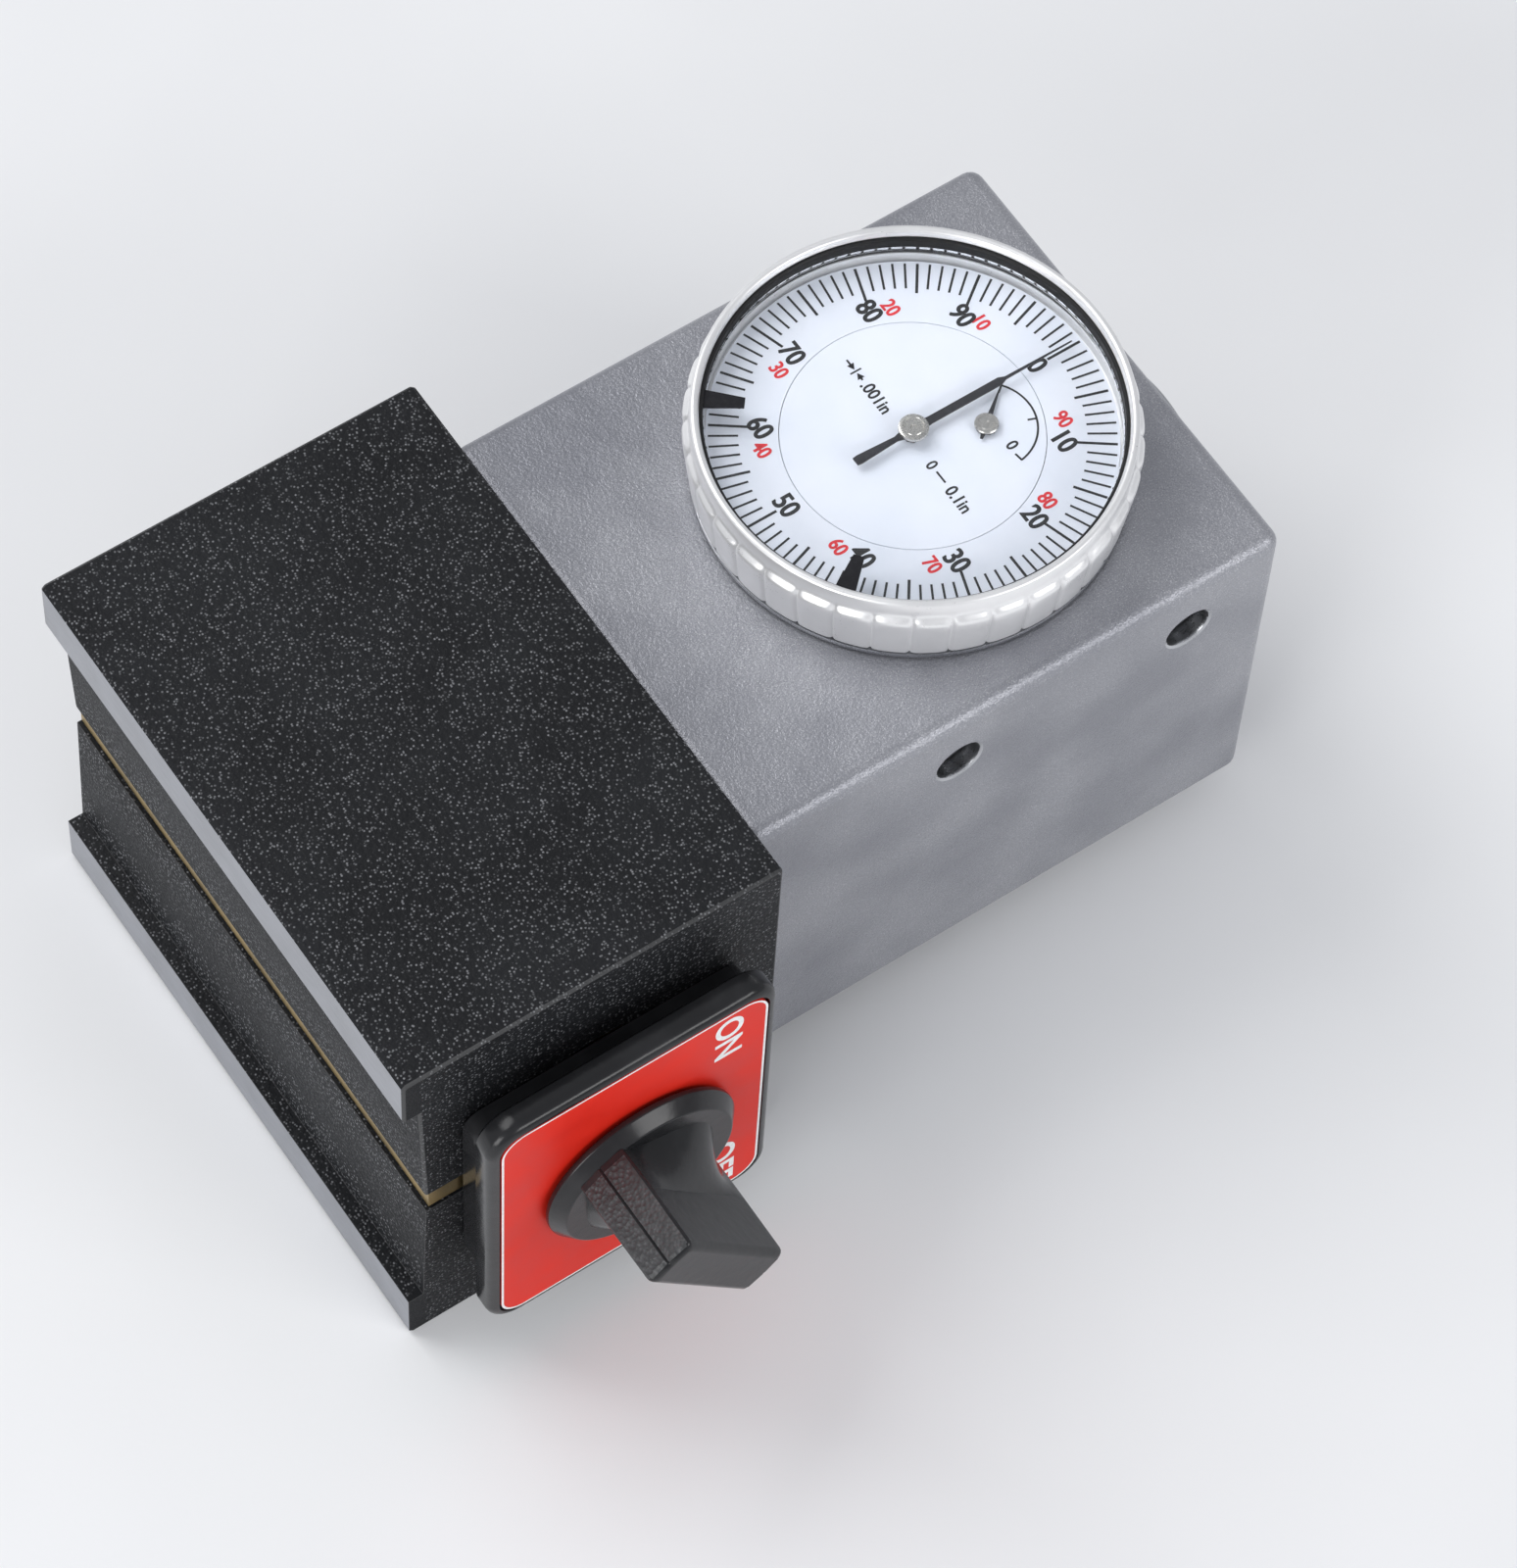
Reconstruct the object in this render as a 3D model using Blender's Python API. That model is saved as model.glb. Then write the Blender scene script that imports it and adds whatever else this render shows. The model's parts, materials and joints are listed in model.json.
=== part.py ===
"""Height setting dial indicator on a switchable magnetic base, lying on its back.

Tool axes, in millimetres until the objects are made: X runs from the magnetic foot (0) to the
contact anvil, Y from the switch side (0) to the rear, Z from the back of the base, on which the
tool lies, up to the dial. An empty carries everything, so that the finished part is centred in
X and Y and stands on Z = 0.
"""
import math

import bmesh
import bpy
from mathutils import Matrix, Vector

MM = 0.001
GAP = 0.3                     # play left between neighbouring pieces

# Magnetic base
BASE_HEIGHT = 39.5            # X, from the foot to the face that carries the block
BASE_LENGTH = 60.0            # Y
BASE_WIDTH = 50.0             # Z
LAND_WIDTH = 6.6              # ground strip at each edge of the foot
FOOT_RELIEF = 1.6             # depth of the foot's hollow beside the lands
FOOT_RELIEF_MID = 2.1         # depth of the foot's hollow at its middle
EDGE_CHAMFER = 0.4
SPACER = 3.0                  # slot between the two poles, filled by the brass spacers
MID_Z = BASE_WIDTH / 2
SWITCH_X = 20.4               # axis of the rotor and its knob
ROTOR_BORE_R = 13.0
SHAFT_R = 2.5
SHAFT_HOLE_R = SHAFT_R + GAP

# Rotary switch
FRAME_X = (4.9, 35.3)
FRAME_Z = (6.4, 43.6)
FRAME_DEPTH = 6.2             # how far the frame stands out from the base
FRAME_CORNER = 3.4
PLATE_BACK = -3.5             # Y of the back of the frame's plate, which stands on a smaller foot
PLATE_FOOT = (14.6, 13.4)     # half the foot's size in X and Z
LABEL_MARGIN = 1.2
LABEL_THICK = 0.4
KNOB_R = 10.0
KNOB_GRIP_R = 9.2
KNOB_BACK = -6.6              # Y of the flange's back
KNOB_FLANGE = -8.5            # Y of the flange's front
KNOB_FRONT = -19.6            # Y of the grip's end
GRIP_WIDTH = 6.0
SWITCH_REST_DEG = -53.0       # the grip points to OFF, measured from +X towards +Z
SWITCH_TRAVEL_DEG = 106.0
SWITCH_ORIGIN = (SWITCH_X, 0.0, MID_Z)

# Indicator block
BLOCK_X = (BASE_HEIGHT + GAP, 98.5)
BLOCK_Y = (5.4, 54.6)
BLOCK_Z = (4.0, 46.0)
SIDE_WALL = 5.6
CAVITY_X = (47.0, 92.5)
CAVITY_TOP = 41.0
COVER_DEPTH = 2.5
CORNER_CUT = 6.5              # the cavity's corners, which take the cover screws
SPINDLE_Y = BASE_LENGTH / 2
SPINDLE_Z = MID_Z
SIDE_HOLE_X = (62.9, 88.5)
SIDE_HOLE_Z = 38.6
SIDE_HOLE_R = 2.3

# Dial, all on the axis at DIAL
DIAL = (73.95, SPINDLE_Y)
BEZEL_R = 21.0
BEZEL_FOOT_R = 20.4
BEZEL_TOP = 55.5
BEZEL_GROOVES = 36
SCALE_TOP = 51.33
SCALE_THICK = 0.5
INNER_DIAL_R = 12.05
WINDOW_R = 19.34

# Spindle and gear train
TRAVEL = 2.54                 # 0.1 inch
SPINDLE_R = 2.25
SPINDLE_END = 46.5
ANVIL_R = 8.0
ANVIL_X = (101.3, 104.14)     # 0.1 inch above the 101.6 mm zero height
TRAIN_RATIO = 3               # turns of the centre pinion to one of either wheel
PINION_TEETH = 10
WHEEL_TEETH = PINION_TEETH * TRAIN_RATIO
TRAIN_DISTANCE = 6.75
TRAIN_MODULE = 2 * TRAIN_DISTANCE / (PINION_TEETH + WHEEL_TEETH)
RACK_PINION_TEETH = 12
RACK_PINION_R = TRAVEL * TRAIN_RATIO / (2 * math.pi)
RACK_MODULE = 2 * RACK_PINION_R / RACK_PINION_TEETH
REV_ANGLE = math.radians(-25.4)
REV_HAND_REST = math.radians(38.0)
RACK_ANGLE = REV_ANGLE + math.pi
REV = (DIAL[0] + TRAIN_DISTANCE * math.cos(REV_ANGLE), DIAL[1] + TRAIN_DISTANCE * math.sin(REV_ANGLE))
RACK = (DIAL[0] + TRAIN_DISTANCE * math.cos(RACK_ANGLE), DIAL[1] + TRAIN_DISTANCE * math.sin(RACK_ANGLE))
WHEEL_Z = (32.0, 33.4)
POSTS = ((63.5, 40.5), (75.0, 19.5), (86.5, 37.0))   # anticlockwise
PIN_X = 70.6                  # guide pin on the spindle, in the middle bridge's slot
PLATE_Z = (36.6, 40.6)
MIDDLE_BRIDGE_Z = (28.2, 29.5)
LOWER_BRIDGE_Z = (17.2, 18.8)

CENTRE_X = ANVIL_X[1] / 2
CENTRE_Y = (BASE_LENGTH + KNOB_FRONT) / 2

Z_AXIS = Matrix.Identity(3)
X_AXIS = Matrix(((0, 0, 1), (0, 1, 0), (-1, 0, 0)))
Y_AXIS = Matrix(((1, 0, 0), (0, 0, 1), (0, -1, 0)))

MATERIALS = {
    "black_paint": ((0.022, 0.023, 0.025), 0.75, 0.0),
    "silver_paint": ((0.42, 0.43, 0.45), 0.42, 0.6),
    "ground_steel": ((0.50, 0.51, 0.54), 0.35, 1.0),
    "dark_steel": ((0.10, 0.10, 0.11), 0.45, 1.0),
    "magnet": ((0.06, 0.06, 0.065), 0.6, 0.3),
    "brass": ((0.62, 0.43, 0.17), 0.3, 1.0),
    "black_plastic": ((0.015, 0.015, 0.017), 0.3, 0.0),
    "red_label": ((0.70, 0.025, 0.01), 0.4, 0.0),
    "satin_chrome": ((0.80, 0.80, 0.80), 0.28, 1.0),
    "dial_white": ((0.78, 0.80, 0.88), 0.5, 0.0),
    "pointer_black": ((0.01, 0.01, 0.012), 0.4, 0.0),
    "nickel": ((0.66, 0.64, 0.60), 0.25, 1.0),
    "crystal": ((0.95, 0.97, 1.0), 0.03, 0.0),
    "rubber": ((0.012, 0.012, 0.014), 0.6, 0.0),
    "spring_steel": ((0.35, 0.35, 0.36), 0.35, 1.0),
}


def clear_scene():
    for thing in list(bpy.data.objects):
        bpy.data.objects.remove(thing, do_unlink=True)


def material(name):
    found = bpy.data.materials.get(name)
    if found:
        return found
    colour, roughness, metallic = MATERIALS[name]
    made = bpy.data.materials.new(name)
    made.use_nodes = True
    shader = made.node_tree.nodes["Principled BSDF"]
    shader.inputs["Base Color"].default_value = (*colour, 1.0)
    shader.inputs["Roughness"].default_value = roughness
    shader.inputs["Metallic"].default_value = metallic
    if name == "crystal":
        shader.inputs["Transmission Weight"].default_value = 1.0
    return made


def arc(centre, radius, start_deg, end_deg, steps):
    """Points of a circular arc, both ends included."""
    turn = [start_deg + (end_deg - start_deg) * i / steps for i in range(steps + 1)]
    return [(centre[0] + radius * math.cos(math.radians(a)),
             centre[1] + radius * math.sin(math.radians(a))) for a in turn]


def rounded_rectangle(low, high, radius, steps=4):
    (x0, y0), (x1, y1) = low, high
    return (arc((x1 - radius, y1 - radius), radius, 0, 90, steps)
            + arc((x0 + radius, y1 - radius), radius, 90, 180, steps)
            + arc((x0 + radius, y0 + radius), radius, 180, 270, steps)
            + arc((x1 - radius, y0 + radius), radius, 270, 360, steps))


def cut_corner_rectangle(low, high, cut):
    (x0, y0), (x1, y1) = low, high
    return [(x0 + cut, y0), (x1 - cut, y0), (x1, y0 + cut), (x1, y1 - cut),
            (x1 - cut, y1), (x0 + cut, y1), (x0, y1 - cut), (x0, y0 + cut)]


def loft(bm, rings):
    """Skin a row of equal closed rings and cap both ends."""
    count = len(rings[0])
    faces = [bm.faces.new(rings[0]), bm.faces.new(rings[-1])]
    for first, second in zip(rings, rings[1:]):
        for i in range(count):
            j = (i + 1) % count
            faces.append(bm.faces.new((first[i], first[j], second[j], second[i])))
    bmesh.ops.recalc_face_normals(bm, faces=faces)


def prism(bm, outline, low, high, axis="Z"):
    """Extrude an outline along an axis; its plane is YZ for X, XZ for Y and XY for Z."""
    place = {"X": lambda u, v, w: (w, u, v), "Y": lambda u, v, w: (u, w, v),
             "Z": lambda u, v, w: (u, v, w)}[axis]
    loft(bm, [[bm.verts.new(place(u, v, w)) for u, v in outline] for w in (low, high)])


def box(bm, x, y, z):
    prism(bm, [(x[0], y[0]), (x[1], y[0]), (x[1], y[1]), (x[0], y[1])], z[0], z[1])


def turned(bm, profile, centre, axis=Z_AXIS, segments=32):
    """Turn a closed profile of (radius, distance along the axis) about a line through centre."""
    rings = []
    for radius, along in profile:
        steps = 1 if radius < 1e-6 else segments
        ring = []
        for i in range(steps):
            a = 2 * math.pi * i / segments
            local = Vector((radius * math.cos(a), radius * math.sin(a), along))
            ring.append(bm.verts.new(Vector(centre) + axis @ local))
        rings.append(ring)
    faces = []
    for lower, upper in zip(rings, rings[1:] + rings[:1]):
        if len(lower) == 1 and len(upper) == 1:
            continue
        for i in range(segments):
            j = (i + 1) % segments
            corners = [lower[i % len(lower)], lower[j % len(lower)],
                       upper[j % len(upper)], upper[i % len(upper)]]
            faces.append(bm.faces.new(list(dict.fromkeys(corners))))
    bmesh.ops.recalc_face_normals(bm, faces=faces)


def rod(bm, radius, low, high, centre, axis=Z_AXIS, segments=24):
    turned(bm, [(0, low), (radius, low), (radius, high), (0, high)], centre, axis, segments)


def tube(bm, inner, outer, low, high, centre, axis=Z_AXIS, segments=24):
    turned(bm, [(inner, low), (outer, low), (outer, high), (inner, high)], centre, axis, segments)


def on_x(y, z):
    """Centre for a piece turned about X, whose distances are then X values."""
    return (0.0, y, z)


def on_y(x, z):
    """Centre for a piece turned about Y, whose distances are then Y values."""
    return (x, 0.0, z)


def on_z(point):
    return (point[0], point[1], 0.0)


def make(name, build, finish, origin=(0.0, 0.0, 0.0), smooth_deg=35.0):
    """One object from a function that fills a bmesh in tool millimetres."""
    bm = bmesh.new()
    build(bm)
    for vertex in bm.verts:
        vertex.co = (vertex.co - Vector(origin)) * MM
    mesh = bpy.data.meshes.new(name)
    bm.to_mesh(mesh)
    bm.free()
    mesh.shade_smooth()
    mesh.set_sharp_from_angle(angle=math.radians(smooth_deg))
    piece = bpy.data.objects.new(name, mesh)
    bpy.context.collection.objects.link(piece)
    piece.parent = bpy.data.objects["tool_frame"]
    piece.location = Vector(origin) * MM
    if finish:
        mesh.materials.append(material(finish))
    return piece


def carve(piece, build, operation="DIFFERENCE"):
    """Cut a piece by (or join it to) what build makes, with a Boolean that stays on it."""
    tool = make("cut_" + piece.name, build, None, origin=piece.location / MM)
    tool.hide_render = True
    tool.display_type = "WIRE"
    boolean = piece.modifiers.new("carve", "BOOLEAN")
    boolean.solver = "EXACT"
    boolean.operation = operation
    boolean.object = tool


def bevel(piece, width, segments):
    edge = piece.modifiers.new("edges", "BEVEL")
    edge.width = width * MM
    edge.segments = segments
    edge.limit_method = "ANGLE"
    edge.angle_limit = math.radians(50)


def gear_outline(centre, module, teeth, first_tooth):
    """Straight-flanked teeth, slim enough to turn freely; first_tooth is an angle in radians."""
    pitch_r = module * teeth / 2
    root, tip = pitch_r - 1.15 * module, pitch_r + 0.75 * module
    pitch = 2 * math.pi / teeth
    points = []
    for k in range(teeth):
        mid = first_tooth + k * pitch
        for radius, offset in ((root, -0.30), (tip, -0.12), (tip, 0.12), (root, 0.30)):
            a = mid + offset * pitch
            points.append((centre[0] + radius * math.cos(a), centre[1] + radius * math.sin(a)))
    return points


# Magnetic base

def pole_outline():
    """Section of the upper pole in XZ; the lower one is its mirror image."""
    inner = MID_Z + SPACER / 2
    reach = math.degrees(math.asin((SPACER / 2) / ROTOR_BORE_R))
    bore = arc((SWITCH_X, MID_Z), ROTOR_BORE_R, reach, 180 - reach, 20)
    top, land, cut = BASE_WIDTH, BASE_WIDTH - LAND_WIDTH, EDGE_CHAMFER
    return ([(0.0, land), (0.0, top - cut), (cut, top), (BASE_HEIGHT - cut, top),
             (BASE_HEIGHT, top - cut), (BASE_HEIGHT, inner)] + bore
            + [(FOOT_RELIEF_MID, inner), (FOOT_RELIEF, land)])


def block_screw_places():
    """One screw from the block into each pole, as (y, z)."""
    return [(SPINDLE_Y - 8.5, MID_Z + 12.5), (SPINDLE_Y + 8.5, MID_Z - 12.5)]


def frame_screw_places():
    """One screw from the switch frame into each pole, as (x, z)."""
    return [(SWITCH_X - 11.5, MID_Z + 10.0), (SWITCH_X + 11.5, MID_Z - 10.0)]


def pole(upper):
    outline = pole_outline()
    if not upper:
        outline = [(x, BASE_WIDTH - z) for x, z in outline]
    name = "base_pole_upper" if upper else "base_pole_lower"
    piece = make(name, lambda bm: prism(bm, outline, 0.0, BASE_LENGTH, "Y"), "black_paint")

    def holes(bm):
        for y, z in block_screw_places():
            if (z > MID_Z) == upper:
                rod(bm, 2.5, BASE_HEIGHT - 8.5, BASE_HEIGHT + 1, on_x(y, z), X_AXIS, 16)
        for x, z in frame_screw_places():
            if (z > MID_Z) == upper:
                rod(bm, 1.5, -1.0, 6.0, on_y(x, z), Y_AXIS, 12)
    carve(piece, holes)


def spacer(name, x):
    z = (MID_Z - SPACER / 2 + GAP, MID_Z + SPACER / 2 - GAP)
    make(name, lambda bm: box(bm, x, (0.2, BASE_LENGTH - 0.2), z), "brass")


def magnetic_base():
    pole(True)
    pole(False)
    spacer("spacer_foot", (FOOT_RELIEF_MID + 0.4, SWITCH_X - ROTOR_BORE_R - GAP))
    spacer("spacer_top", (SWITCH_X + ROTOR_BORE_R + GAP, BASE_HEIGHT - 0.3))
    at = on_y(SWITCH_X, MID_Z)
    bore = ROTOR_BORE_R - GAP
    bush = make("rotor_front_bush", lambda bm: tube(bm, SHAFT_HOLE_R, bore, 0.4, 5.4, at, Y_AXIS),
                "brass")
    carve(bush, lambda bm: rod(bm, 1.0 + GAP, 3.0, 7.0, stop_pin_centre(), Y_AXIS, 12))
    make("rear_bearing", lambda bm: turned(bm, [
        (SHAFT_HOLE_R, 54.3), (bore, 54.3), (bore, 59.3), (bore - 0.6, 59.8), (4.0, 59.8), (3.2, 59.0),
        (0, 59.0), (0, 57.0), (SHAFT_HOLE_R, 57.0)], at, Y_AXIS), "dark_steel")
    make("stop_pin", lambda bm: rod(bm, 1.0, 3.3, 8.2, stop_pin_centre(), Y_AXIS, 12), "dark_steel")


def stop_pin_centre():
    a = math.radians(90.0)
    return on_y(SWITCH_X + 9.0 * math.cos(a), MID_Z + 9.0 * math.sin(a))


# Rotary switch, turning about Y through SWITCH_ORIGIN

def switch_frame():
    """A plate with rounded edges on a smaller foot, with a pocket for the label."""
    low, high = (FRAME_X[0], FRAME_Z[0]), (FRAME_X[1], FRAME_Z[1])

    def drawn_in(inset):
        return rounded_rectangle((low[0] + inset, low[1] + inset), (high[0] - inset, high[1] - inset),
                                 FRAME_CORNER - inset, 5)

    def plate_and_foot(bm):
        half_x, half_z = PLATE_FOOT
        foot = rounded_rectangle((SWITCH_X - half_x, MID_Z - half_z), (SWITCH_X + half_x, MID_Z + half_z),
                                 2.0, 5)
        levels = [(drawn_in(0.9), -FRAME_DEPTH), (drawn_in(0.26), -FRAME_DEPTH + 0.26),
                  (drawn_in(0.0), -FRAME_DEPTH + 0.9), (drawn_in(0.0), PLATE_BACK - 0.4),
                  (drawn_in(0.4), PLATE_BACK), (foot, PLATE_BACK + 0.2), (foot, -0.2)]
        loft(bm, [[bm.verts.new((x, y, z)) for x, z in outline] for outline, y in levels])

    piece = make("switch_frame", plate_and_foot, "black_plastic")
    inset = LABEL_MARGIN - 0.15
    pocket_low, pocket_high = (low[0] + inset, low[1] + inset), (high[0] - inset, high[1] - inset)

    def cuts(bm):
        prism(bm, rounded_rectangle(pocket_low, pocket_high, 2.6, 4), -FRAME_DEPTH - 1,
              -FRAME_DEPTH + LABEL_THICK + 0.15, "Y")
    carve(piece, cuts)

    def bores(bm):
        rod(bm, SHAFT_HOLE_R + 0.5, -FRAME_DEPTH - 1, 1.0, on_y(SWITCH_X, MID_Z), Y_AXIS)
        for x, z in frame_screw_places():
            turned(bm, [(0, -FRAME_DEPTH - 1), (2.6, -FRAME_DEPTH - 1), (2.6, -3.0), (1.5, -3.0),
                        (1.5, 1.0), (0, 1.0)], on_y(x, z), Y_AXIS, 16)
    carve(piece, bores)


def switch_label():
    low = (FRAME_X[0] + LABEL_MARGIN, FRAME_Z[0] + LABEL_MARGIN)
    high = (FRAME_X[1] - LABEL_MARGIN, FRAME_Z[1] - LABEL_MARGIN)
    outline = rounded_rectangle(low, high, 2.5, 4)
    piece = make("switch_label", lambda bm: prism(bm, outline, -FRAME_DEPTH, -FRAME_DEPTH + LABEL_THICK,
                                                  "Y"), "red_label")
    carve(piece, lambda bm: rod(bm, SHAFT_HOLE_R + 0.5, -8.0, -4.0, on_y(SWITCH_X, MID_Z), Y_AXIS))


def frame_screws():
    profile = [(0, -5.2), (2.2, -5.2), (2.2, -3.3), (1.2, -3.3), (1.2, 5.2), (0, 5.2)]
    for number, (x, z) in enumerate(frame_screw_places(), 1):
        at = on_y(x, z)
        make("frame_screw_%d" % number, lambda bm: turned(bm, profile, at, Y_AXIS, 12), "dark_steel")


def grip_half_section(hollow=5.0):
    """Half width of the grip against Y, hollowed out towards the flange."""
    half = GRIP_WIDTH / 2
    return [(half, KNOB_FRONT)] + arc((half + hollow, KNOB_FLANGE - hollow + 0.05), hollow, 180, 90, 6)


def grip(bm):
    """A bar across the flange, its ends rounded to a circle about the knob's axis."""
    rest = math.radians(SWITCH_REST_DEG)
    along = Vector((math.cos(rest), 0.0, math.sin(rest)))
    across = Vector((-math.sin(rest), 0.0, math.cos(rest)))
    half = grip_half_section()
    section = half + [(-u, y) for u, y in reversed(half)]
    widths = (1.0, 2.1, 3.0, 4.4, 6.0, 7.6)
    reaches = [math.sqrt(KNOB_GRIP_R ** 2 - u ** 2) for u in widths]
    stations = [(-r, u) for r, u in zip(reaches, widths)] + [(0.0, KNOB_GRIP_R)]
    stations += [(r, u) for r, u in reversed(list(zip(reaches, widths)))]
    rings = []
    for reach, chord in stations:
        ring = []
        for u, y in section:
            side = max(-chord, min(chord, u))
            centre = Vector((SWITCH_X, y, MID_Z))
            ring.append(bm.verts.new(centre + along * reach + across * side))
        rings.append(ring)
    loft(bm, rings)


def switch_knob():
    at = on_y(SWITCH_X, MID_Z)
    piece = make("switch_knob", lambda bm: turned(
        bm, [(0, KNOB_BACK), (KNOB_R, KNOB_BACK), (KNOB_R, KNOB_BACK - 0.5), (8.6, KNOB_FLANGE),
             (0, KNOB_FLANGE)], at, Y_AXIS, 48), "black_plastic", SWITCH_ORIGIN)
    carve(piece, grip, "UNION")
    carve(piece, lambda bm: rod(bm, SHAFT_HOLE_R, -16.0, 0.0, at, Y_AXIS, 20))


def rotor():
    at = on_y(SWITCH_X, MID_Z)
    magnet = make("magnet_rotor", lambda bm: tube(bm, SHAFT_HOLE_R, 12.4, 6.0, 54.0, at, Y_AXIS, 40),
                  "magnet", SWITCH_ORIGIN)

    def stop_slot(bm):
        # The pin stands at 90 degrees; the slot runs from it against the switch's travel.
        margin = 10.0
        start, end = 90.0 + margin, 90.0 - SWITCH_TRAVEL_DEG - margin
        outline = (arc((SWITCH_X, MID_Z), 10.6, start, end, 16)
                   + arc((SWITCH_X, MID_Z), 7.4, end, start, 16))
        prism(bm, outline, 5.0, 8.8, "Y")
    carve(magnet, stop_slot)
    make("switch_shaft", lambda bm: rod(bm, SHAFT_R, -15.7, 56.7, at, Y_AXIS, 20), "dark_steel",
         SWITCH_ORIGIN)


# Indicator block

def cover_screw_places():
    return [(x, y) for x in (CAVITY_X[0] + 1.6, CAVITY_X[1] - 1.6)
            for y in (BLOCK_Y[0] + SIDE_WALL + 1.6, BLOCK_Y[1] - SIDE_WALL - 1.6)]


def indicator_housing():
    piece = make("indicator_housing", lambda bm: box(bm, BLOCK_X, BLOCK_Y, BLOCK_Z), "silver_paint")
    bevel(piece, 0.9, 2)
    cavity_y = (BLOCK_Y[0] + SIDE_WALL, BLOCK_Y[1] - SIDE_WALL)

    def hollow(bm):
        prism(bm, cut_corner_rectangle((CAVITY_X[0], cavity_y[0]), (CAVITY_X[1], cavity_y[1]),
                                       CORNER_CUT), BLOCK_Z[0] - 1, CAVITY_TOP)
    carve(piece, hollow)

    def rebate(bm):
        prism(bm, rounded_rectangle((CAVITY_X[0] - 3.0, cavity_y[0] - 2.6),
                                    (CAVITY_X[1] + 2.6, cavity_y[1] + 2.6), 3.0),
              BLOCK_Z[0] - 1, BLOCK_Z[0] + COVER_DEPTH)
    carve(piece, rebate)

    def bores(bm):
        rod(bm, 15.2, 40.0, 47.0, on_z(DIAL), Z_AXIS, 48)
        rod(bm, 5.3, 90.0, 100.0, on_x(SPINDLE_Y, SPINDLE_Z), X_AXIS)
        rod(bm, 4.8, 41.7, 48.0, on_x(SPINDLE_Y, SPINDLE_Z), X_AXIS)
        for y, z in block_screw_places():
            rod(bm, 2.5, 38.0, 48.0, on_x(y, z), X_AXIS, 16)
    carve(piece, bores)

    def side_holes(bm):
        for x in SIDE_HOLE_X:
            turned(bm, [(0, -1.0), (SIDE_HOLE_R, -1.0), (SIDE_HOLE_R, 3.6), (1.5, 3.6), (1.5, 9.5),
                        (0, 9.5)], (x, BLOCK_Y[0], SIDE_HOLE_Z), Y_AXIS, 20)
    carve(piece, side_holes)

    def cover_holes(bm):
        for place in cover_screw_places():
            rod(bm, 1.1, 4.0, 13.0, on_z(place), Z_AXIS, 12)
    carve(piece, cover_holes)


def back_cover():
    cavity_y = (BLOCK_Y[0] + SIDE_WALL, BLOCK_Y[1] - SIDE_WALL)
    low = (CAVITY_X[0] - 3.0 + GAP, cavity_y[0] - 2.6 + GAP)
    high = (CAVITY_X[1] + 2.6 - GAP, cavity_y[1] + 2.6 - GAP)
    piece = make("back_cover", lambda bm: prism(bm, rounded_rectangle(low, high, 2.7), BLOCK_Z[0],
                                                BLOCK_Z[0] + COVER_DEPTH - GAP), "silver_paint")

    def holes(bm):
        for place in cover_screw_places():
            turned(bm, [(0, 3.0), (2.1, 3.0), (2.1, 5.0), (1.2, 5.0), (1.2, 8.0), (0, 8.0)],
                   on_z(place), Z_AXIS, 16)
    carve(piece, holes)

    profile = [(0, 4.4), (0.9, 4.4), (0.9, 4.1), (1.8, 4.1), (1.8, 4.8), (0.8, 4.8), (0.8, 12.0),
               (0, 12.0)]
    for number, place in enumerate(cover_screw_places(), 1):
        make("cover_screw_%d" % number, lambda bm: turned(bm, profile, on_z(place), Z_AXIS, 12),
             "dark_steel")


def block_fasteners():
    profile = [(0, 32.0), (2.1, 32.0), (2.1, 47.3), (3.2, 47.3), (3.2, 51.0), (1.8, 51.0), (1.8, 49.0),
               (0, 49.0)]
    for number, (y, z) in enumerate(block_screw_places(), 1):
        make("mounting_screw_%d" % number, lambda bm: turned(bm, profile, on_x(y, z), X_AXIS, 16),
             "dark_steel")
    profile = [(0, 2.4), (0.9, 2.4), (0.9, 1.6), (1.9, 1.6), (1.9, 3.3), (1.1, 3.3), (1.1, 13.0),
               (0, 13.0)]
    for number, x in enumerate(SIDE_HOLE_X, 1):
        at = (x, BLOCK_Y[0], SIDE_HOLE_Z)
        make("side_screw_%d" % number, lambda bm: turned(bm, profile, at, Y_AXIS, 12), "dark_steel")


def stem_and_guide():
    at = on_x(SPINDLE_Y, SPINDLE_Z)
    make("stem_bushing", lambda bm: tube(bm, SPINDLE_R + GAP, 5.0, 90.4, 98.4, at, X_AXIS),
         "ground_steel")
    make("guide_bushing", lambda bm: tube(bm, SPINDLE_R + GAP, 4.5, 42.0, 53.0, at, X_AXIS), "brass")

    def coil(bm):
        spiral_wire(bm, at, 53.4, 59.0, radius=3.1, wire=0.25, turns=4)
    make("return_spring", coil, "spring_steel")


def spiral_wire(bm, centre, start, end, radius, wire, turns, steps=14, sides=6):
    """A coil spring about X with closed ends."""
    rings = []
    total = turns * steps
    for i in range(total + 1):
        a = 2 * math.pi * i / steps
        along = start + wire + (end - start - 2 * wire) * i / total
        ring = []
        for k in range(sides):
            b = 2 * math.pi * k / sides
            r = radius + wire * math.cos(b)
            ring.append(bm.verts.new((along + wire * math.sin(b), centre[1] + r * math.cos(a),
                                      centre[2] + r * math.sin(a))))
        rings.append(ring)
    loft(bm, rings)


# Movement

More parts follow.
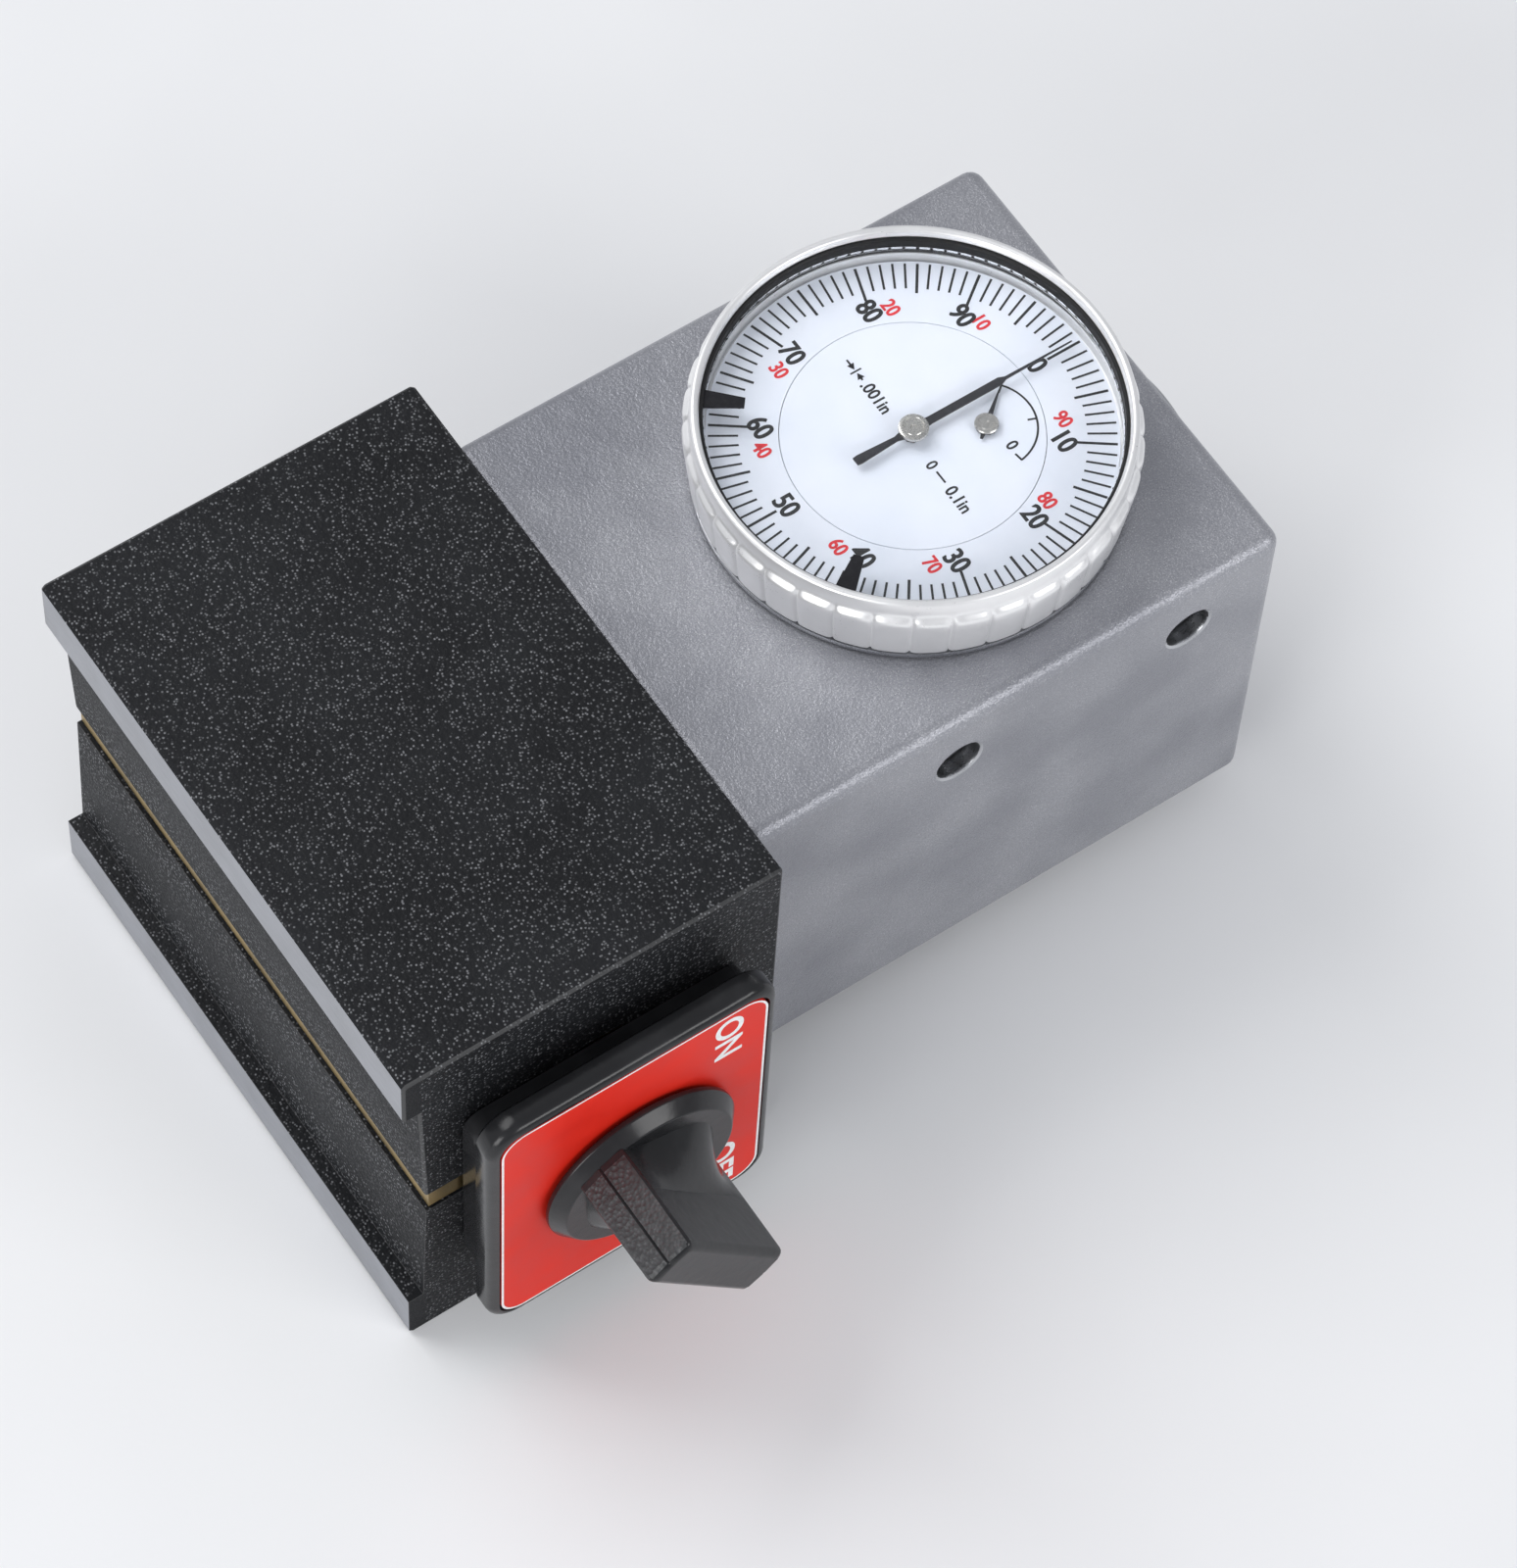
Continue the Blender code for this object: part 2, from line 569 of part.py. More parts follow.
def movement_plates():
    wall = BLOCK_Y[0] + SIDE_WALL + GAP, BLOCK_Y[1] - SIDE_WALL - GAP
    plate = make("movement_plate", lambda bm: prism(
        bm, cut_corner_rectangle((56.0, wall[0]), (CAVITY_X[1] - GAP, wall[1]), CORNER_CUT), *PLATE_Z),
        "brass")

    def plate_holes(bm):
        rod(bm, 1.0, 35.0, 42.0, on_z(DIAL), Z_AXIS, 16)
        rod(bm, 1.0, 35.0, 42.0, on_z(REV), Z_AXIS, 16)
        rod(bm, 0.7, 35.0, 39.0, on_z(RACK), Z_AXIS, 12)
        for place in POSTS:
            rod(bm, 0.9, 35.0, 39.0, on_z(place), Z_AXIS, 12)
        for place in case_screw_places():
            rod(bm, 1.2, 37.6, 42.0, on_z(place), Z_AXIS, 12)
        for x in SIDE_HOLE_X:
            rod(bm, 1.4, BLOCK_Y[0] + 5.0, BLOCK_Y[0] + 14.0, on_y(x, SIDE_HOLE_Z), Y_AXIS, 12)
    carve(plate, plate_holes)

    def bridge(name, z, pivots, post_hole, slot):
        piece = make(name, lambda bm: prism(bm, bridge_outline(), *z), "brass")

        def holes(bm):
            for place, radius in pivots:
                rod(bm, radius, z[0] - 1, z[1] + 1, on_z(place), Z_AXIS, 12)
            for place in POSTS:
                rod(bm, post_hole, z[0] - 1, z[1] + 1, on_z(place), Z_AXIS, 12)
            if slot:
                box(bm, (PIN_X - 3.6, PIN_X + 1.3), (SPINDLE_Y - 1.0, SPINDLE_Y + 1.0),
                    (z[0] - 1, z[1] + 1))
        carve(piece, holes)
    bridge("middle_bridge", MIDDLE_BRIDGE_Z, ((DIAL, 0.7), (REV, 0.7), (RACK, 1.1)), 1.5, True)
    bridge("lower_bridge", LOWER_BRIDGE_Z, ((RACK, 0.7),), 0.9, False)
    low, middle, high = LOWER_BRIDGE_Z, MIDDLE_BRIDGE_Z, PLATE_Z[0]
    profile = [(0, low[0] - 1.5), (1.5, low[0] - 1.5), (1.5, low[0] - GAP), (0.6, low[0] - GAP),
               (0.6, low[1] + GAP), (1.8, low[1] + GAP), (1.8, middle[0] - GAP), (1.2, middle[0] - GAP),
               (1.2, middle[1] + GAP), (1.8, middle[1] + GAP), (1.8, high - GAP), (0.6, high - GAP),
               (0.6, high + 2.1), (0, high + 2.1)]
    for number, place in enumerate(POSTS, 1):
        make("pillar_%d" % number, lambda bm: turned(bm, profile, on_z(place), Z_AXIS, 12), "nickel")


def bridge_outline(ear=3.0):
    """The hull of a circle round each post."""
    points = []
    for before, place, after in zip(POSTS[-1:] + POSTS[:-1], POSTS, POSTS[1:] + POSTS[:1]):
        start = math.degrees(math.atan2(place[1] - before[1], place[0] - before[0])) - 90.0
        end = math.degrees(math.atan2(after[1] - place[1], after[0] - place[0])) - 90.0
        points += arc(place, ear, start, start + (end - start) % 360.0, 5)
    return points


def case_screw_places():
    return [(DIAL[0] + 10.5 * math.cos(math.radians(a)), DIAL[1] + 10.5 * math.sin(math.radians(a)))
            for a in (90, 310)]


def dial_feet_places():
    return [(DIAL[0] + 9.0 * math.cos(math.radians(a)), DIAL[1] + 9.0 * math.sin(math.radians(a)))
            for a in (50, 150, 245)]


def dial_case():
    profile = [(0, 46.4), (13.4, 46.4), (13.4, 43.0), (14.9, 43.0), (14.9, 46.3), (20.3, 46.3),
               (20.3, 46.8), (18.6, 46.8), (18.6, 48.0), (18.2, 48.1), (18.2, 48.9), (18.6, 49.0),
               (18.6, 49.9), (17.4, 49.9), (17.4, 47.6), (0, 47.6)]
    piece = make("dial_case", lambda bm: turned(bm, profile, on_z(DIAL), Z_AXIS, 48), "ground_steel")

    def holes(bm):
        rod(bm, 1.0, 45.0, 49.0, on_z(DIAL), Z_AXIS, 16)
        rod(bm, 1.0, 45.0, 49.0, on_z(REV), Z_AXIS, 16)
        for place in case_screw_places():
            rod(bm, 1.2, 45.0, 49.0, on_z(place), Z_AXIS, 12)
    carve(piece, holes)

    screw = [(0, 38.0), (0.9, 38.0), (0.9, 47.9), (1.7, 47.9), (1.7, 48.8), (0, 48.8)]
    for number, place in enumerate(case_screw_places(), 1):
        make("case_screw_%d" % number, lambda bm: turned(bm, screw, on_z(place), Z_AXIS, 12), "nickel")


def inner_dial():
    """The fixed middle of the dial, with the feet that carry it."""
    piece = make("inner_dial", lambda bm: rod(bm, INNER_DIAL_R, SCALE_TOP - SCALE_THICK, SCALE_TOP,
                                              on_z(DIAL), Z_AXIS, 64), "dial_white")

    def feet(bm):
        for place in dial_feet_places():
            rod(bm, 1.2, 47.9, SCALE_TOP - 0.2, on_z(place), Z_AXIS, 10)
    carve(piece, feet, "UNION")

    def pivots(bm):
        rod(bm, 0.9, 50.0, 52.0, on_z(DIAL), Z_AXIS, 16)
        rod(bm, 0.9, 50.0, 52.0, on_z(REV), Z_AXIS, 16)
    carve(piece, pivots)


def spindle():
    at = on_x(SPINDLE_Y, SPINDLE_Z)
    origin = (ANVIL_X[1], SPINDLE_Y, SPINDLE_Z)
    piece = make("spindle", lambda bm: rod(bm, SPINDLE_R, SPINDLE_END, 102.8, at, X_AXIS, 20),
                 "ground_steel", origin)
    pitch_y = RACK[1] - RACK_PINION_R
    root_y, tip_y = pitch_y - 1.15 * RACK_MODULE, pitch_y + 0.75 * RACK_MODULE
    low_y = SPINDLE_Y - 1.9

    def clear(bm):
        box(bm, (63.4, 75.6), (root_y, 40.0), (20.0, 30.0))
        box(bm, (63.4, 75.6), (20.0, low_y), (20.0, 30.0))
    carve(piece, clear)
    pitch = math.pi * RACK_MODULE

    def rack(bm):
        outline = [(75.4, low_y + 0.3), (75.4, root_y)]
        for k in range(10, -6, -1):
            mid = RACK[0] + k * pitch
            outline += [(mid + 0.30 * pitch, root_y), (mid + 0.12 * pitch, tip_y),
                        (mid - 0.12 * pitch, tip_y), (mid - 0.30 * pitch, root_y)]
        outline += [(63.6, root_y), (63.6, low_y + 0.3)]
        prism(bm, outline, SPINDLE_Z - 1.2, SPINDLE_Z + 1.2)
    carve(piece, rack, "UNION")
    carve(piece, lambda bm: rod(bm, 0.75, SPINDLE_Z + 0.6, 30.0, (PIN_X, SPINDLE_Y, 0.0), Z_AXIS, 12))
    make("guide_pin", lambda bm: rod(bm, 0.6, SPINDLE_Z + 0.8, 29.2, (PIN_X, SPINDLE_Y, 0.0), Z_AXIS, 12),
         "nickel", origin)
    make("spring_collar", lambda bm: turned(
        bm, [(SPINDLE_R + 0.15, 61.6), (SPINDLE_R + 0.15, 62.8), (4.2, 62.8), (4.2, 56.8), (3.7, 56.8),
             (3.7, 61.6)], at, X_AXIS, 20), "nickel", origin)
    make("contact_anvil", lambda bm: turned(
        bm, [(SPINDLE_R + 0.15, ANVIL_X[0]), (ANVIL_R - 0.4, ANVIL_X[0]), (ANVIL_R, ANVIL_X[0] + 0.4),
             (ANVIL_R, ANVIL_X[1] - 0.5), (ANVIL_R - 0.5, ANVIL_X[1]), (0, ANVIL_X[1]), (0, 103.0),
             (SPINDLE_R + 0.15, 103.0)], at, X_AXIS, 40), "ground_steel", origin)


def wheel_phase(angle):
    """First tooth of a wheel whose tooth space faces the centre pinion from the given side."""
    return angle + math.pi - math.pi / WHEEL_TEETH


def gear_train():
    z0, z1 = WHEEL_Z

    def centre(bm):
        prism(bm, gear_outline(DIAL, TRAIN_MODULE, PINION_TEETH, REV_ANGLE), z0 - 0.6, z1 + 0.6)
    piece = make("centre_arbor", centre, "ground_steel", on_z(DIAL))
    carve(piece, lambda bm: turned(bm, [(0, 28.6), (0.4, 28.6), (0.4, 29.8), (0.7, 29.8), (0.7, 51.9),
                                        (0, 51.9)], on_z(DIAL), Z_AXIS, 12), "UNION")

    def rack_pinion(bm):
        outline = gear_outline(RACK, RACK_MODULE, RACK_PINION_TEETH,
                               -math.pi / 2 - math.pi / RACK_PINION_TEETH)
        prism(bm, outline, SPINDLE_Z - 1.6, SPINDLE_Z + 1.6)
    piece = make("rack_arbor", rack_pinion, "ground_steel", on_z(RACK))
    carve(piece, lambda bm: turned(bm, [
        (0, 17.6), (0.4, 17.6), (0.4, 19.4), (0.7, 19.4), (0.7, 35.6), (0.4, 35.6), (0.4, 38.4), (0, 38.4)],
        on_z(RACK), Z_AXIS, 12), "UNION")
    make("rev_arbor", lambda bm: turned(bm, [(0, 28.6), (0.4, 28.6), (0.4, 29.8), (0.7, 29.8), (0.7, 46.0),
                                            (0.5, 46.0), (0.5, 51.65), (0, 51.65)], on_z(REV), Z_AXIS, 12),
         "ground_steel", on_z(REV))
    for name, place, angle in (("rack_wheel", RACK, RACK_ANGLE), ("rev_wheel", REV, REV_ANGLE)):
        wheel = make(name, lambda bm: prism(bm, gear_outline(place, TRAIN_MODULE, WHEEL_TEETH,
                                                             wheel_phase(angle)), z0, z1),
                     "brass", on_z(place))
        carve(wheel, lambda bm: rod(bm, 0.85, z0 - 1, z1 + 1, on_z(place), Z_AXIS, 12))

    def hairspring(bm):
        turns, steps, thick = 3, 18, 0.12
        path = []
        for i in range(turns * steps + 1):
            a = 2 * math.pi * i / steps
            path.append((1.2 + 2.7 * i / (turns * steps), a))
        side = [(REV[0] + r * math.cos(a), REV[1] + r * math.sin(a)) for r, a in path]
        back = [(REV[0] + (r + thick) * math.cos(a), REV[1] + (r + thick) * math.sin(a))
                for r, a in reversed(path)]
        prism(bm, side + back, 30.3, 31.0)
    make("hairspring", hairspring, "spring_steel")


# Hands, turning with their arbors

def hand(name, at, outline, hole, z, angle):
    """A flat hand pointing along the angle; the outline's first number runs along it."""
    c, s = math.cos(angle), math.sin(angle)
    points = [(at[0] + u * c - v * s, at[1] + u * s + v * c) for u, v in outline]
    piece = make(name, lambda bm: prism(bm, points, *z), "pointer_black", on_z(at))
    carve(piece, lambda bm: rod(bm, hole, z[0] - 1, z[1] + 1, on_z(at), Z_AXIS, 16))


def mirrored(half):
    """Close a half outline given from tail to tip by its mirror image."""
    return [(u, -v) for u, v in half] + [(u, v) for u, v in reversed(half)]


def hands():
    hand("main_pointer", DIAL, mirrored([
        (-6.4, 0.42), (-5.9, 0.48), (-1.9, 0.26), (-1.25, 0.45), (-1.2, 0.75), (-0.75, 1.2), (0.75, 1.2),
        (1.2, 0.75), (1.25, 0.45), (1.9, 0.40), (9.6, 0.40), (10.2, 0.15), (17.6, 0.05)]),
         1.0, (52.15, 52.3), 0.0)
    make("pointer_hub", lambda bm: turned(bm, [
        (0, 52.0), (0.8, 52.0), (0.8, 51.5), (0.95, 51.5), (0.95, 52.36), (1.42, 52.36), (1.42, 52.6),
        (1.32, 52.7), (0, 52.7)], on_z(DIAL), Z_AXIS, 24), "nickel", on_z(DIAL))
    hand("rev_hand", REV, mirrored([
        (-1.6, 0.14), (-1.05, 0.2), (-0.95, 0.6), (-0.6, 0.95), (0.6, 0.95), (0.95, 0.6), (1.05, 0.24),
        (4.2, 0.04)]), 0.8, (51.62, 51.74), REV_HAND_REST)
    make("rev_hub", lambda bm: turned(bm, [
        (0, 51.8), (0.6, 51.8), (0.6, 51.5), (0.74, 51.5), (0.74, 51.8), (1.13, 51.8), (1.13, 51.98),
        (0, 51.98)], on_z(REV), Z_AXIS, 20), "nickel", on_z(REV))


# Bezel group, turning about the dial axis

def bezel():
    """Fluted skirt and domed rim; every second point of the skirt lies in a flute."""
    flute = 0.4
    skirt = [(BEZEL_FOOT_R, 47.1), (BEZEL_R, 52.6), (BEZEL_R - 0.15, 53.3)]
    rest = [(20.45, 53.7), (20.25, 55.1), (19.95, BEZEL_TOP), (19.7, 55.35), (19.45, 54.7), (19.45, 54.45),
            (20.1, 54.45), (20.1, 52.2), (19.2, 52.2), (19.2, 50.65), (17.9, 50.65), (17.9, 50.15),
            (18.9, 50.15), (18.9, 48.9), (19.25, 48.85), (19.25, 48.15), (18.9, 48.1), (18.9, 47.1)]
    segments = 2 * BEZEL_GROOVES

    def build(bm):
        turned(bm, skirt + rest, on_z(DIAL), Z_AXIS, segments)
        for index, vertex in enumerate(bm.verts):
            if index < len(skirt) * segments and index % 2:
                outward = Vector((vertex.co.x - DIAL[0], vertex.co.y - DIAL[1], 0.0)).normalized()
                vertex.co -= outward * flute
    make("bezel", build, "satin_chrome", on_z(DIAL), 25.0)


def bezel_fittings():
    at = on_z(DIAL)
    make("crystal_gasket", lambda bm: tube(bm, WINDOW_R, 19.95, 52.4, 54.3, at, Z_AXIS, 48), "rubber", at)
    make("crystal", lambda bm: rod(bm, WINDOW_R - 0.25, 52.95, 53.75, at, Z_AXIS, 48), "crystal", at)
    make("scale_ring", lambda bm: tube(bm, INNER_DIAL_R + GAP, 18.85, SCALE_TOP - SCALE_THICK, SCALE_TOP,
                                       at, Z_AXIS, 64), "dial_white", at)
    for name, middle in (("limit_marker_left", 140.5), ("limit_marker_right", -143.5)):
        outline = (arc(DIAL, 15.4, middle + 1.9, middle - 1.9, 1)
                   + arc(DIAL, WINDOW_R - 0.2, middle - 2.8, middle + 2.8, 2))
        make(name, lambda bm: prism(bm, outline, 54.0, 54.25), "pointer_black", at)


def retaining_wire():
    """An open ring of wire in the dial case's groove that keeps the bezel on."""
    steps, sides, wire, radius, z = 44, 6, 0.2, 18.75, 48.5

    def build(bm):
        rings = []
        for i in range(steps + 1):
            a = math.radians(10.0 + 340.0 * i / steps)
            ring = []
            for k in range(sides):
                b = 2 * math.pi * k / sides
                r = radius + wire * math.cos(b)
                ring.append(bm.verts.new((DIAL[0] + r * math.cos(a), DIAL[1] + r * math.sin(a),
                                          z + wire * math.sin(b))))
            rings.append(ring)
        loft(bm, rings)
    make("retaining_wire", build, "spring_steel")


def main():
    clear_scene()
    frame = bpy.data.objects.new("tool_frame", None)
    bpy.context.collection.objects.link(frame)
    frame.location = (-CENTRE_X * MM, -CENTRE_Y * MM, 0.0)
    magnetic_base()
    switch_frame()
    switch_label()
    frame_screws()
    switch_knob()
    rotor()
    indicator_housing()
    back_cover()
    block_fasteners()
    stem_and_guide()
    movement_plates()
    dial_case()
    inner_dial()
    spindle()
    gear_train()
    hands()
    bezel()
    bezel_fittings()
    retaining_wire()


main()
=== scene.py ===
"""Looks for the height setting dial indicator: a switchable magnetic base, an indicator block and
a dial. Lengths are in millimetres from the corner of the base where its foot, its switch side and
the face it lies on meet; HOME puts that corner in the frame."""

import json
import math

import bmesh
import bpy
from mathutils import Matrix, Vector


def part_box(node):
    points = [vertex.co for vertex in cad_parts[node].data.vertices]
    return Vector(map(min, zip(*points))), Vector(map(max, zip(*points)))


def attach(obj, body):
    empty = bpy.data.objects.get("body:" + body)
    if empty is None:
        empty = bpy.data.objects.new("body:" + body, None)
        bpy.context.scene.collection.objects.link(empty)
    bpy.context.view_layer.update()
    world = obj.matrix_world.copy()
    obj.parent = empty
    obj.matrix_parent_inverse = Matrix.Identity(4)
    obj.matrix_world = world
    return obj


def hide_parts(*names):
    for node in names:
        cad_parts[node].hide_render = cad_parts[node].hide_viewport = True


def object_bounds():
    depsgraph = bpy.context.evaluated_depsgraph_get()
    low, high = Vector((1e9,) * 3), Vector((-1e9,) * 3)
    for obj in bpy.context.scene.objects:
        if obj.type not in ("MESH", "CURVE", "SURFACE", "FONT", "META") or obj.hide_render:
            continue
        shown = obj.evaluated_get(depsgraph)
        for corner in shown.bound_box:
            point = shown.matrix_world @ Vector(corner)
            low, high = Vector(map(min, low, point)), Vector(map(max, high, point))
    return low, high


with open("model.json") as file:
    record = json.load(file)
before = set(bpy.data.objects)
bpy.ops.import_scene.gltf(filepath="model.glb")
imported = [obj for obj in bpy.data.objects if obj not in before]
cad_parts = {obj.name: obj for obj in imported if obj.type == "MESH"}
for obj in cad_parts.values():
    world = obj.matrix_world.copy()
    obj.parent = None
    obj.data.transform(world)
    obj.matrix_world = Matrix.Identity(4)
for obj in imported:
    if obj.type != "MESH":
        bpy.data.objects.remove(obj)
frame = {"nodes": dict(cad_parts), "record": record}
CAD_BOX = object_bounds()
MM = 0.001


def low_high(node):
    """A node's box in millimetres from HOME."""
    low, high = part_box(node)
    return (low - HOME) / MM, (high - HOME) / MM


def middle_of(node):
    """The middle of a node's box, in the same lengths."""
    low, high = low_high(node)
    return Vector(((low.x + high.x) / 2, (low.y + high.y) / 2, (low.z + high.z) / 2))


HOME = Vector(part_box("base_pole_lower")[0])
BLOCK = low_high("indicator_housing")
FRAME = low_high("switch_frame")
LABEL = low_high("switch_label")
KNOB = low_high("switch_knob")
BEZEL = low_high("bezel")
DIAL = (BEZEL[0] + BEZEL[1]) / 2
RING = low_high("scale_ring")
REV_HUB = low_high("rev_hub")
REV = (REV_HUB[0] + REV_HUB[1]) / 2
SWITCH = (KNOB[0] + KNOB[1]) / 2
DIAL_FACE = RING[1].z
REST = math.radians(-53.0)        # the knob's grip, from +X towards +Z
PLATE_THICK = 2.7                 # the switch frame's plate, which stands on a smaller foot
PLATE_FOOT = (14.6, 13.4)         # half the foot's size in X and Z
PLATE_CORNER = 3.4
LABEL_CORNER = 2.6
BORDER = 0.24                     # the white line round the label
PRINT_LIFT = 0.012                # how far ink stands off what it is printed on
LAND_DEPTH = 1.75                 # how far along X the foot lands' smooth ends reach
LAND_END = 0.5                    # and along Y, from the switch's side
FLUTES = 36                       # grooves round the bezel
TICKS_END = 18.6                  # outer radius of the dial's marks
FIGURES = 13.83                   # radius of the circle that the dial's figures stand on
CORNER_STEPS = 8                  # facets round each corner of a flat outline
CAMERA_PLACE = Vector((-181.74, -235.09, 551.67))
CAMERA_RIGHT = Vector((0.83383, -0.55172, 0.01813))
CAMERA_FORWARD = Vector((0.31930, 0.45526, -0.83114))
CAMERA_AIM = Vector((-2.0, -2.0, 0.0))    # what it looks at, from the middle of the tool
ON_X = Matrix(((0, 0, 1), (0, 1, 0), (-1, 0, 0)))
ON_Y = Matrix(((1, 0, 0), (0, 0, 1), (0, -1, 0)))
ON_Z = Matrix.Identity(3)


# Procedural materials

class Paint:
    """A Principled material with a few short-hands for its nodes; lengths are in millimetres."""

    def __init__(self, name, colour, roughness, metallic=0.0, **values):
        self.mat = bpy.data.materials.new(name)
        self.mat.use_nodes = True
        self.tree = self.mat.node_tree
        self.shader = self.tree.nodes["Principled BSDF"]
        self.set("Base Color", (*colour, 1.0))
        self.set("Roughness", roughness)
        self.set("Metallic", metallic)
        for key, value in values.items():
            self.set(key.replace("_", " "), value)
        self.place = self.add("ShaderNodeTexCoord").outputs["Object"]
        self.height = None

    def set(self, socket, value):
        if isinstance(value, bpy.types.NodeSocket):
            self.tree.links.new(value, self.shader.inputs[socket])
        else:
            self.shader.inputs[socket].default_value = value

    def add(self, kind, settings=(), **inputs):
        made = self.tree.nodes.new(kind)
        for key, value in dict(settings).items():
            setattr(made, key, value)
        for key, value in inputs.items():
            self.plug(made.inputs[key.replace("_", " ")], value)
        return made

    def plug(self, socket, value):
        if isinstance(value, bpy.types.NodeSocket):
            self.tree.links.new(value, socket)
        else:
            socket.default_value = value

    def stretched(self, x, y, z):
        return self.add("ShaderNodeMapping", Vector=self.place, Scale=(x, y, z)).outputs["Vector"]

    def noise(self, size, detail=2.0, rough=0.5, vector=None):
        made = self.add("ShaderNodeTexNoise", Vector=vector or self.place, Scale=1.0 / (size * MM),
                        Detail=detail, Roughness=rough)
        return made.outputs["Fac"]

    def cells(self, size):
        return self.add("ShaderNodeTexVoronoi", Vector=self.place, Scale=1.0 / (size * MM)).outputs

    def span(self, value, low, high, to_low=0.0, to_high=1.0):
        made = self.add("ShaderNodeMapRange", {"clamp": True}, Value=value)
        for key, number in (("From Min", low), ("From Max", high), ("To Min", to_low), ("To Max", to_high)):
            made.inputs[key].default_value = number
        return made.outputs["Result"]

    def math(self, operation, first, second=0.0):
        made = self.add("ShaderNodeMath", {"operation": operation})
        self.plug(made.inputs[0], first)
        self.plug(made.inputs[1], second)
        return made.outputs[0]

    def blend(self, share, first, second):
        made = self.add("ShaderNodeMix", {"data_type": "RGBA"})
        self.plug(made.inputs[0], share)
        for socket, colour in ((made.inputs[6], first), (made.inputs[7], second)):
            self.plug(socket, (*colour, 1.0) if isinstance(colour, tuple) else colour)
        return made.outputs[2]

    def axis(self, name):
        return self.add("ShaderNodeSeparateXYZ", Vector=self.place).outputs[name]

    def bump(self, height, depth, strength=1.0):
        made = self.add("ShaderNodeBump", Height=height, Distance=depth * MM, Strength=strength)
        if self.height:
            self.plug(made.inputs["Normal"], self.height)
        self.height = made.outputs["Normal"]
        self.set("Normal", self.height)


def sand_paint(name="sand_paint", worn=0.0):
    """Black texture paint with brighter and darker grains, the brighter ones painted highlights; the foot
    lands' ends have none.
    """
    p = Paint(name, (0.02, 0.02, 0.022), 0.6, Specular_IOR_Level=0.2)
    near_foot = p.math("LESS_THAN", p.axis("X"), HOME.x + LAND_DEPTH * MM)
    smooth = p.math("MULTIPLY", near_foot, p.math("LESS_THAN", p.axis("Y"), HOME.y + LAND_END * MM))
    painted = p.math("SUBTRACT", 1.0, smooth)
    grains = p.cells(0.34)
    chance = p.add("ShaderNodeSeparateColor", Color=grains["Color"]).outputs[0]
    grain = p.math("MULTIPLY", p.span(grains["Distance"], 0.42, 0.12), painted)
    # painted highlights: the grains lightened in the colour, as if their tops caught the light
    grain_highlight = p.math("MULTIPLY", grain, p.span(chance, 0.15, 1.0, 0.04, 1.0))
    tone = p.blend(p.span(p.noise(9.0, 2.0), 0.35, 0.65), (0.007 + worn, 0.0075 + worn, 0.009 + worn),
                   (0.012 + worn, 0.013 + worn, 0.015 + worn))
    p.set("Base Color", p.blend(grain_highlight, tone, (0.30, 0.305, 0.32)))
    p.set("Roughness", p.span(p.noise(0.14, 2.0, 0.6), 0.3, 0.7, 0.45, 0.72))
    p.bump(p.math("MULTIPLY", grain, p.span(chance, 0.0, 1.0, 0.4, 1.0)), 0.10)
    p.bump(p.math("MULTIPLY", p.noise(0.5, 2.0), painted), 0.10)
    return p.mat


def silver_paint():
    """Silver texture paint: fine raised grain, with painted glints (bright specks in the colour) in soft
    clouds.
    """
    p = Paint("silver_paint", (0.34, 0.345, 0.365), 0.4, 0.45)
    grain = p.noise(0.30, 2.5, 0.6)
    speckle = p.noise(0.13, 2.0, 0.7)
    cloud = p.span(p.noise(13.0, 2.0), 0.35, 0.65)
    tone = p.blend(cloud, (0.26, 0.265, 0.295), (0.33, 0.335, 0.365))
    # painted glints: bright specks lightened into the colour, thinned out by the clouds
    glint = p.math("MULTIPLY", p.span(speckle, 0.55, 0.70), p.span(cloud, 0.0, 1.0, 0.25, 0.8))
    p.set("Base Color", p.blend(glint, tone, (0.72, 0.72, 0.74)))
    p.set("Roughness", p.span(speckle, 0.3, 0.7, 0.26, 0.44))
    p.bump(p.noise(2.2, 1.5), 0.08)
    p.bump(grain, 0.09, 1.0)
    return p.mat


def metal(name, colour, roughness, along=(1.0, 1.0, 1.0), grain=0.25, depth=0.01, stain=0.12,
          metallic=1.0):
    """Worked metal: scratches stretched along one axis and slow changes of gloss."""
    p = Paint(name, colour, roughness, metallic)
    lines = p.noise(grain, 3.0, 0.6, p.stretched(*along))
    cloud = p.noise(5.0, 3.0)
    dark = tuple(c * (1.0 - stain) for c in colour)
    p.set("Base Color", p.blend(p.span(cloud, 0.35, 0.65), dark, colour))
    p.set("Roughness", p.span(p.math("ADD", lines, p.math("MULTIPLY", cloud, 0.5)), 0.45, 1.05,
                              roughness * 0.75, roughness * 1.35))
    p.bump(lines, depth)
    return p.mat


def moulded(name, colour, roughness, pit=0.5, depth=0.012):
    """Moulded plastic or rubber: faint orange peel and a little dust."""
    p = Paint(name, colour, roughness, Specular_IOR_Level=0.35)
    peel = p.noise(pit, 2.0, 0.5)
    cloud = p.noise(6.0, 3.0, 0.6)
    pale = tuple(c * 1.5 + 0.004 for c in colour)
    p.set("Base Color", p.blend(p.span(cloud, 0.45, 0.75), colour, pale))
    p.set("Roughness", p.span(cloud, 0.3, 0.7, roughness * 0.85, roughness * 1.3))
    p.bump(peel, depth)
    return p.mat


